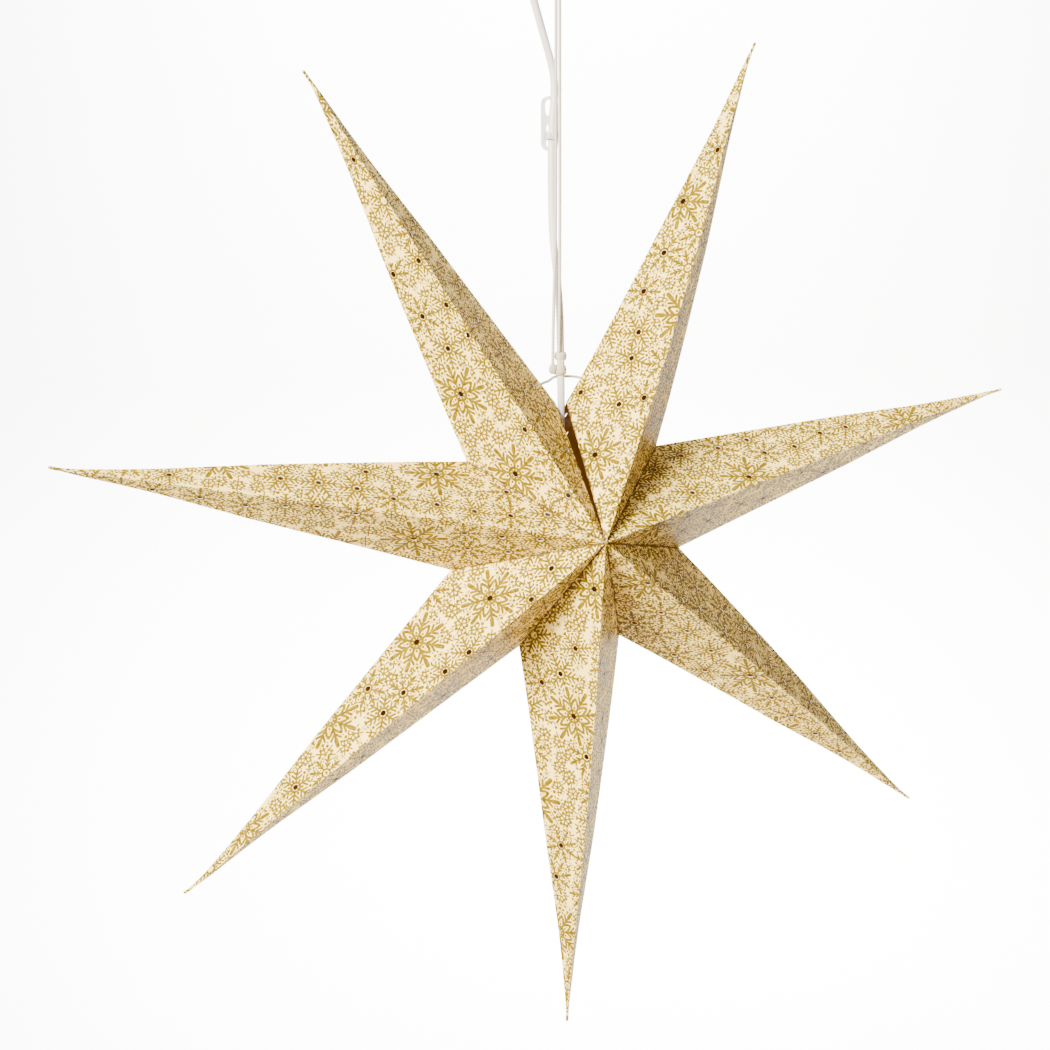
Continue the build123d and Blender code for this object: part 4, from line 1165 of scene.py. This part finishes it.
# %% [markdown]
# ## Tie across the slot
# A thinner string closes the slot: it comes out of the left point, goes behind the lead under the main
# knot, and into the right point.

# %% Tie string
TIE_REACH = {POINTS: 0.017, 1: 0.020}  # from the valley up the crease to the hole
STOP_KNOT, PLAY, SOLID_CARD = 0.005, 0.0003, 0.0005
valley_out = VALLEY_RADIUS * math.cos(HALF_STEP)
crease_aside = VALLEY_RADIUS * math.sin(HALF_STEP) * TIP_RADIUS / (TIP_RADIUS - valley_out)
stop_depth = (STOP_KNOT / 2 + SOLID_CARD) / math.sin(math.atan2(HALF_DEPTH, crease_aside)) + PLAY
ends = {}
for number, side in ((POINTS, 1), (1, -1)):
    tip, _, _, left, right = point_corners(number)
    valley = right if side > 0 else left
    towards = point_axes(number)[1] * side
    hole = valley + (tip - valley).normalized() * TIE_REACH[number]
    ends[number] = [hole - towards * (stop_depth - STOP_KNOT / 2), hole + towards * TIE_DIAMETER]
tie_back = LEAD_DIAMETER / 2 + PLAY + TIE_DIAMETER / 2
tie_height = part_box("main_knot")[0].z - PLAY - TIE_DIAMETER / 2
# Worn flat, the string shows wider than it is thick.
TIE_WRAP_HALF, TIE_SAG, TIE_SHOWN = 0.0038, 0.0012, 0.0019
wrap_left = Vector((LAMP_AXIS.x - TIE_WRAP_HALF, tie_back, tie_height))
wrap_right = Vector((LAMP_AXIS.x + TIE_WRAP_HALF, tie_back, tie_height))
tie_route = [
    *ends[POINTS],
    ends[POINTS][1].lerp(wrap_left, 0.5) - Vector((0, 0, TIE_SAG)),
    wrap_left,
    wrap_right,
    *reversed(ends[1]),
]
string_piece("braided_tie", "tie_string", "star", tie_route, TIE_SHOWN, tie_fibre)

# %% [markdown]
# ## Hanger clip
# The clip on the lead is moulded in a milky plastic: a flat plate with an eye for a hook, two holes, and
# a bridge that holds the lead against it. Filled curves with a bevel give a plate with softly rounded
# edges at once.


# %% Clip
def arc(middle, radius, start, end, parts):
    """Points of an arc in a plane, angles in degrees."""
    angles = [math.radians(start + (end - start) * i / parts) for i in range(parts + 1)]
    return [(middle[0] + radius * math.cos(a), middle[1] + radius * math.sin(a)) for a in angles]


def slab(name, outlines, thickness, edge):
    """A flat mesh with rounded edges between its outer outline and its holes."""
    rounded = {"extrude": thickness / 2 - edge, "bevel_depth": edge, "bevel_resolution": 3, "offset": -edge}
    return plain_mesh(curve_object(name, "POLY", outlines, dimensions="2D", fill_mode="BOTH", **rounded))


CLIP_WIDTH, CLIP_HEIGHT, CLIP_THICK, CLIP_CORNER, CLIP_EDGE = 0.012, 0.037, 0.002, 0.0055, 0.0003
EYE_WIDTH, EYE_HEIGHT, EYE_RIM, CLIP_HOLE, CLIP_HOLE_STEP = 0.0066, 0.011, 0.0024, 0.0054, 0.0102
BRIDGE_TALL, BRIDGE_WALL, BRIDGE_DROP, OUTER_ROUND, INNER_ROUND = 0.0044, 0.0015, 0.0083, 0.002, 0.001
clip_low, clip_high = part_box("hanger_clip")
clip_middle = (clip_low + clip_high) / 2
half_wide, half_tall = CLIP_WIDTH / 2 - CLIP_CORNER, CLIP_HEIGHT / 2 - CLIP_CORNER
plate_outline = []
for turn, (x, y) in enumerate(((1, 1), (-1, 1), (-1, -1), (1, -1))):
    plate_outline += arc((x * half_wide, y * half_tall), CLIP_CORNER, 90 * turn, 90 * turn + 90, 8)
eye_middle = CLIP_HEIGHT / 2 - EYE_RIM - EYE_HEIGHT / 2
eye_rise = (EYE_HEIGHT - EYE_WIDTH) / 2
eye_outline = arc((0, eye_middle + eye_rise), EYE_WIDTH / 2, 0, 180, 14)
eye_outline += arc((0, eye_middle - eye_rise), EYE_WIDTH / 2, 180, 360, 14)
hole_outlines = [
    arc((0, -BRIDGE_DROP + side * CLIP_HOLE_STEP / 2), CLIP_HOLE / 2, 0, 345, 23) for side in (-1, 1)
]
plate = slab("clip_plate", [plate_outline, eye_outline, *hole_outlines], CLIP_THICK, CLIP_EDGE)
plate_place = Matrix.Translation((clip_middle.x, clip_high.y - CLIP_THICK / 2, clip_middle.z))
plate.transform(plate_place @ UPRIGHT.to_4x4())
inner = LEAD_DIAMETER / 2 + PLAY
outer = inner + BRIDGE_WALL
plate_front = clip_high.y - CLIP_THICK
bridge_depth = plate_front - clip_low.y
outer_y, inner_y = -bridge_depth + OUTER_ROUND, -bridge_depth + BRIDGE_WALL + INNER_ROUND
bridge_outline = [
    (-outer, CLIP_EDGE),
    *arc((-outer + OUTER_ROUND, outer_y), OUTER_ROUND, 180, 270, 6),
    *arc((outer - OUTER_ROUND, outer_y), OUTER_ROUND, 270, 360, 6),
    (outer, CLIP_EDGE),
    (inner, CLIP_EDGE),
    *arc((inner - INNER_ROUND, inner_y), INNER_ROUND, 360, 270, 4),
    *arc((-inner + INNER_ROUND, inner_y), INNER_ROUND, 270, 180, 4),
    (-inner, CLIP_EDGE),
]
bridge = slab("clip_bridge", [bridge_outline], BRIDGE_TALL, CLIP_EDGE)
bridge.transform(Matrix.Translation((clip_middle.x, plate_front, clip_middle.z - BRIDGE_DROP)))
milky = mottled(
    "milky polypropylene",
    "#DCDEDA",
    "#F3F4F0",
    0.4,
    0.006,
    rub=0,
    relief=0,
    detail=3.0,
    swirl=1.0,
    Transmission_Weight=0.3,
    IOR=1.45,
)
shell = bmesh.new()
shell.from_mesh(plate)
shell.from_mesh(bridge)
clip = mesh_piece("milky_clip", [], [], milky)
shell.to_mesh(clip.data)
shell.free()
stand_for(clip, "clip", "milky_plastic", "hanger_clip")
print("clip of", len(clip.data.polygons), "faces")

# %% [markdown]
# ## Plug
# A flat two-pin plug is moulded on the lead's end. Its body is lofted through sections that go from the
# round strain relief, ribbed so that it bends, to the wide flat grip.


# %% Plug
def lofted(name, centre, sections, around, material):
    """A closed body through sections (height, half width, half depth, squareness)."""
    vertices = []
    for height, half_wide, half_deep, power in sections:
        for j in range(around):
            cos, sin = math.cos(2 * math.pi * j / around), math.sin(2 * math.pi * j / around)
            x = half_wide * math.copysign(abs(cos) ** (2 / power), cos)
            y = half_deep * math.copysign(abs(sin) ** (2 / power), sin)
            vertices.append(centre + Vector((x, y, height)))
    # The sections go down, so their faces turn the other way round.
    faces = [(a, d, c, b) for a, b, c, d in ring_faces(len(sections), around)]
    faces.append(tuple(range(around)))
    faces.append(tuple((len(sections) - 1) * around + j for j in reversed(range(around))))
    piece = mesh_piece(name, vertices, faces, material)
    for polygon in piece.data.polygons:
        polygon.use_smooth = len(polygon.vertices) == 4
    return piece


plug_low, plug_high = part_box("plug_body")
plug_middle = Vector(((plug_low.x + plug_high.x) / 2, (plug_low.y + plug_high.y) / 2, plug_high.z))
half_wide, half_deep = (plug_high.x - plug_low.x) / 2, (plug_high.y - plug_low.y) / 2
RELIEF_LENGTH, RELIEF_TIP, RELIEF_ROOT, RELIEF_LIP, RIBS = 0.022, 0.0035, 0.0048, 0.0005, 6
RIB_SHAPE = ((0.06, 0.0), (0.62, 0.0), (0.72, 0.0009), (0.92, 0.0009))  # share of a rib's height, and groove
SHOULDER, SHOULDER_SHARES = 0.014, (0.0, 0.08, 0.2, 0.4, 0.6, 0.8, 0.92, 1.0)
ROUND_SECTION, GRIP_SECTION = 2, 4.2  # squareness, where 2 is an ellipse
PLUG_SIDES = 64
GRIP_TOP = -RELIEF_LENGTH - 0.0155
sections = [(0.0, RELIEF_TIP - RELIEF_LIP, RELIEF_TIP - RELIEF_LIP, ROUND_SECTION)]
for rib in range(RIBS):
    top = -RELIEF_LENGTH * rib / RIBS
    width = RELIEF_TIP + (RELIEF_ROOT - RELIEF_TIP) * rib / (RIBS - 1)
    tall = RELIEF_LENGTH / RIBS
    for share, sink in RIB_SHAPE:
        sections.append((top - tall * share, width - sink, width - sink, ROUND_SECTION))
for share in SHOULDER_SHARES:
    ease = share * share * (3 - 2 * share)
    wide = RELIEF_ROOT + (half_wide - RELIEF_ROOT) * (0.35 * share + 0.65 * ease)
    deep = RELIEF_ROOT + (half_deep - RELIEF_ROOT) * min(1.0, 1.6 * share)
    power = ROUND_SECTION + (GRIP_SECTION - ROUND_SECTION) * share
    sections.append((-RELIEF_LENGTH - SHOULDER * share, wide, deep, power))
sections.append((GRIP_TOP, half_wide, half_deep, GRIP_SECTION))
for up, shrink in ((0.0012, 0.0), (0.0006, 0.0002), (0.0002, 0.0006), (0.0, 0.0012)):
    sections.append((plug_low.z - plug_high.z + up, half_wide - shrink, half_deep - shrink, GRIP_SECTION))
plug = lofted("moulded_plug", plug_middle, sections, PLUG_SIDES, moulded_white)
stand_for(plug, "pendant", "white_plastic", "plug_body")
print("plug of", len(plug.data.polygons), "faces")

# %% [markdown]
# ## Lead declared, with what is on it
# The lead's length is what such a pendant has, about three and a third metres. The plug, its pins and the
# strap round the coil go with it.

print("lead, plug and strap done")
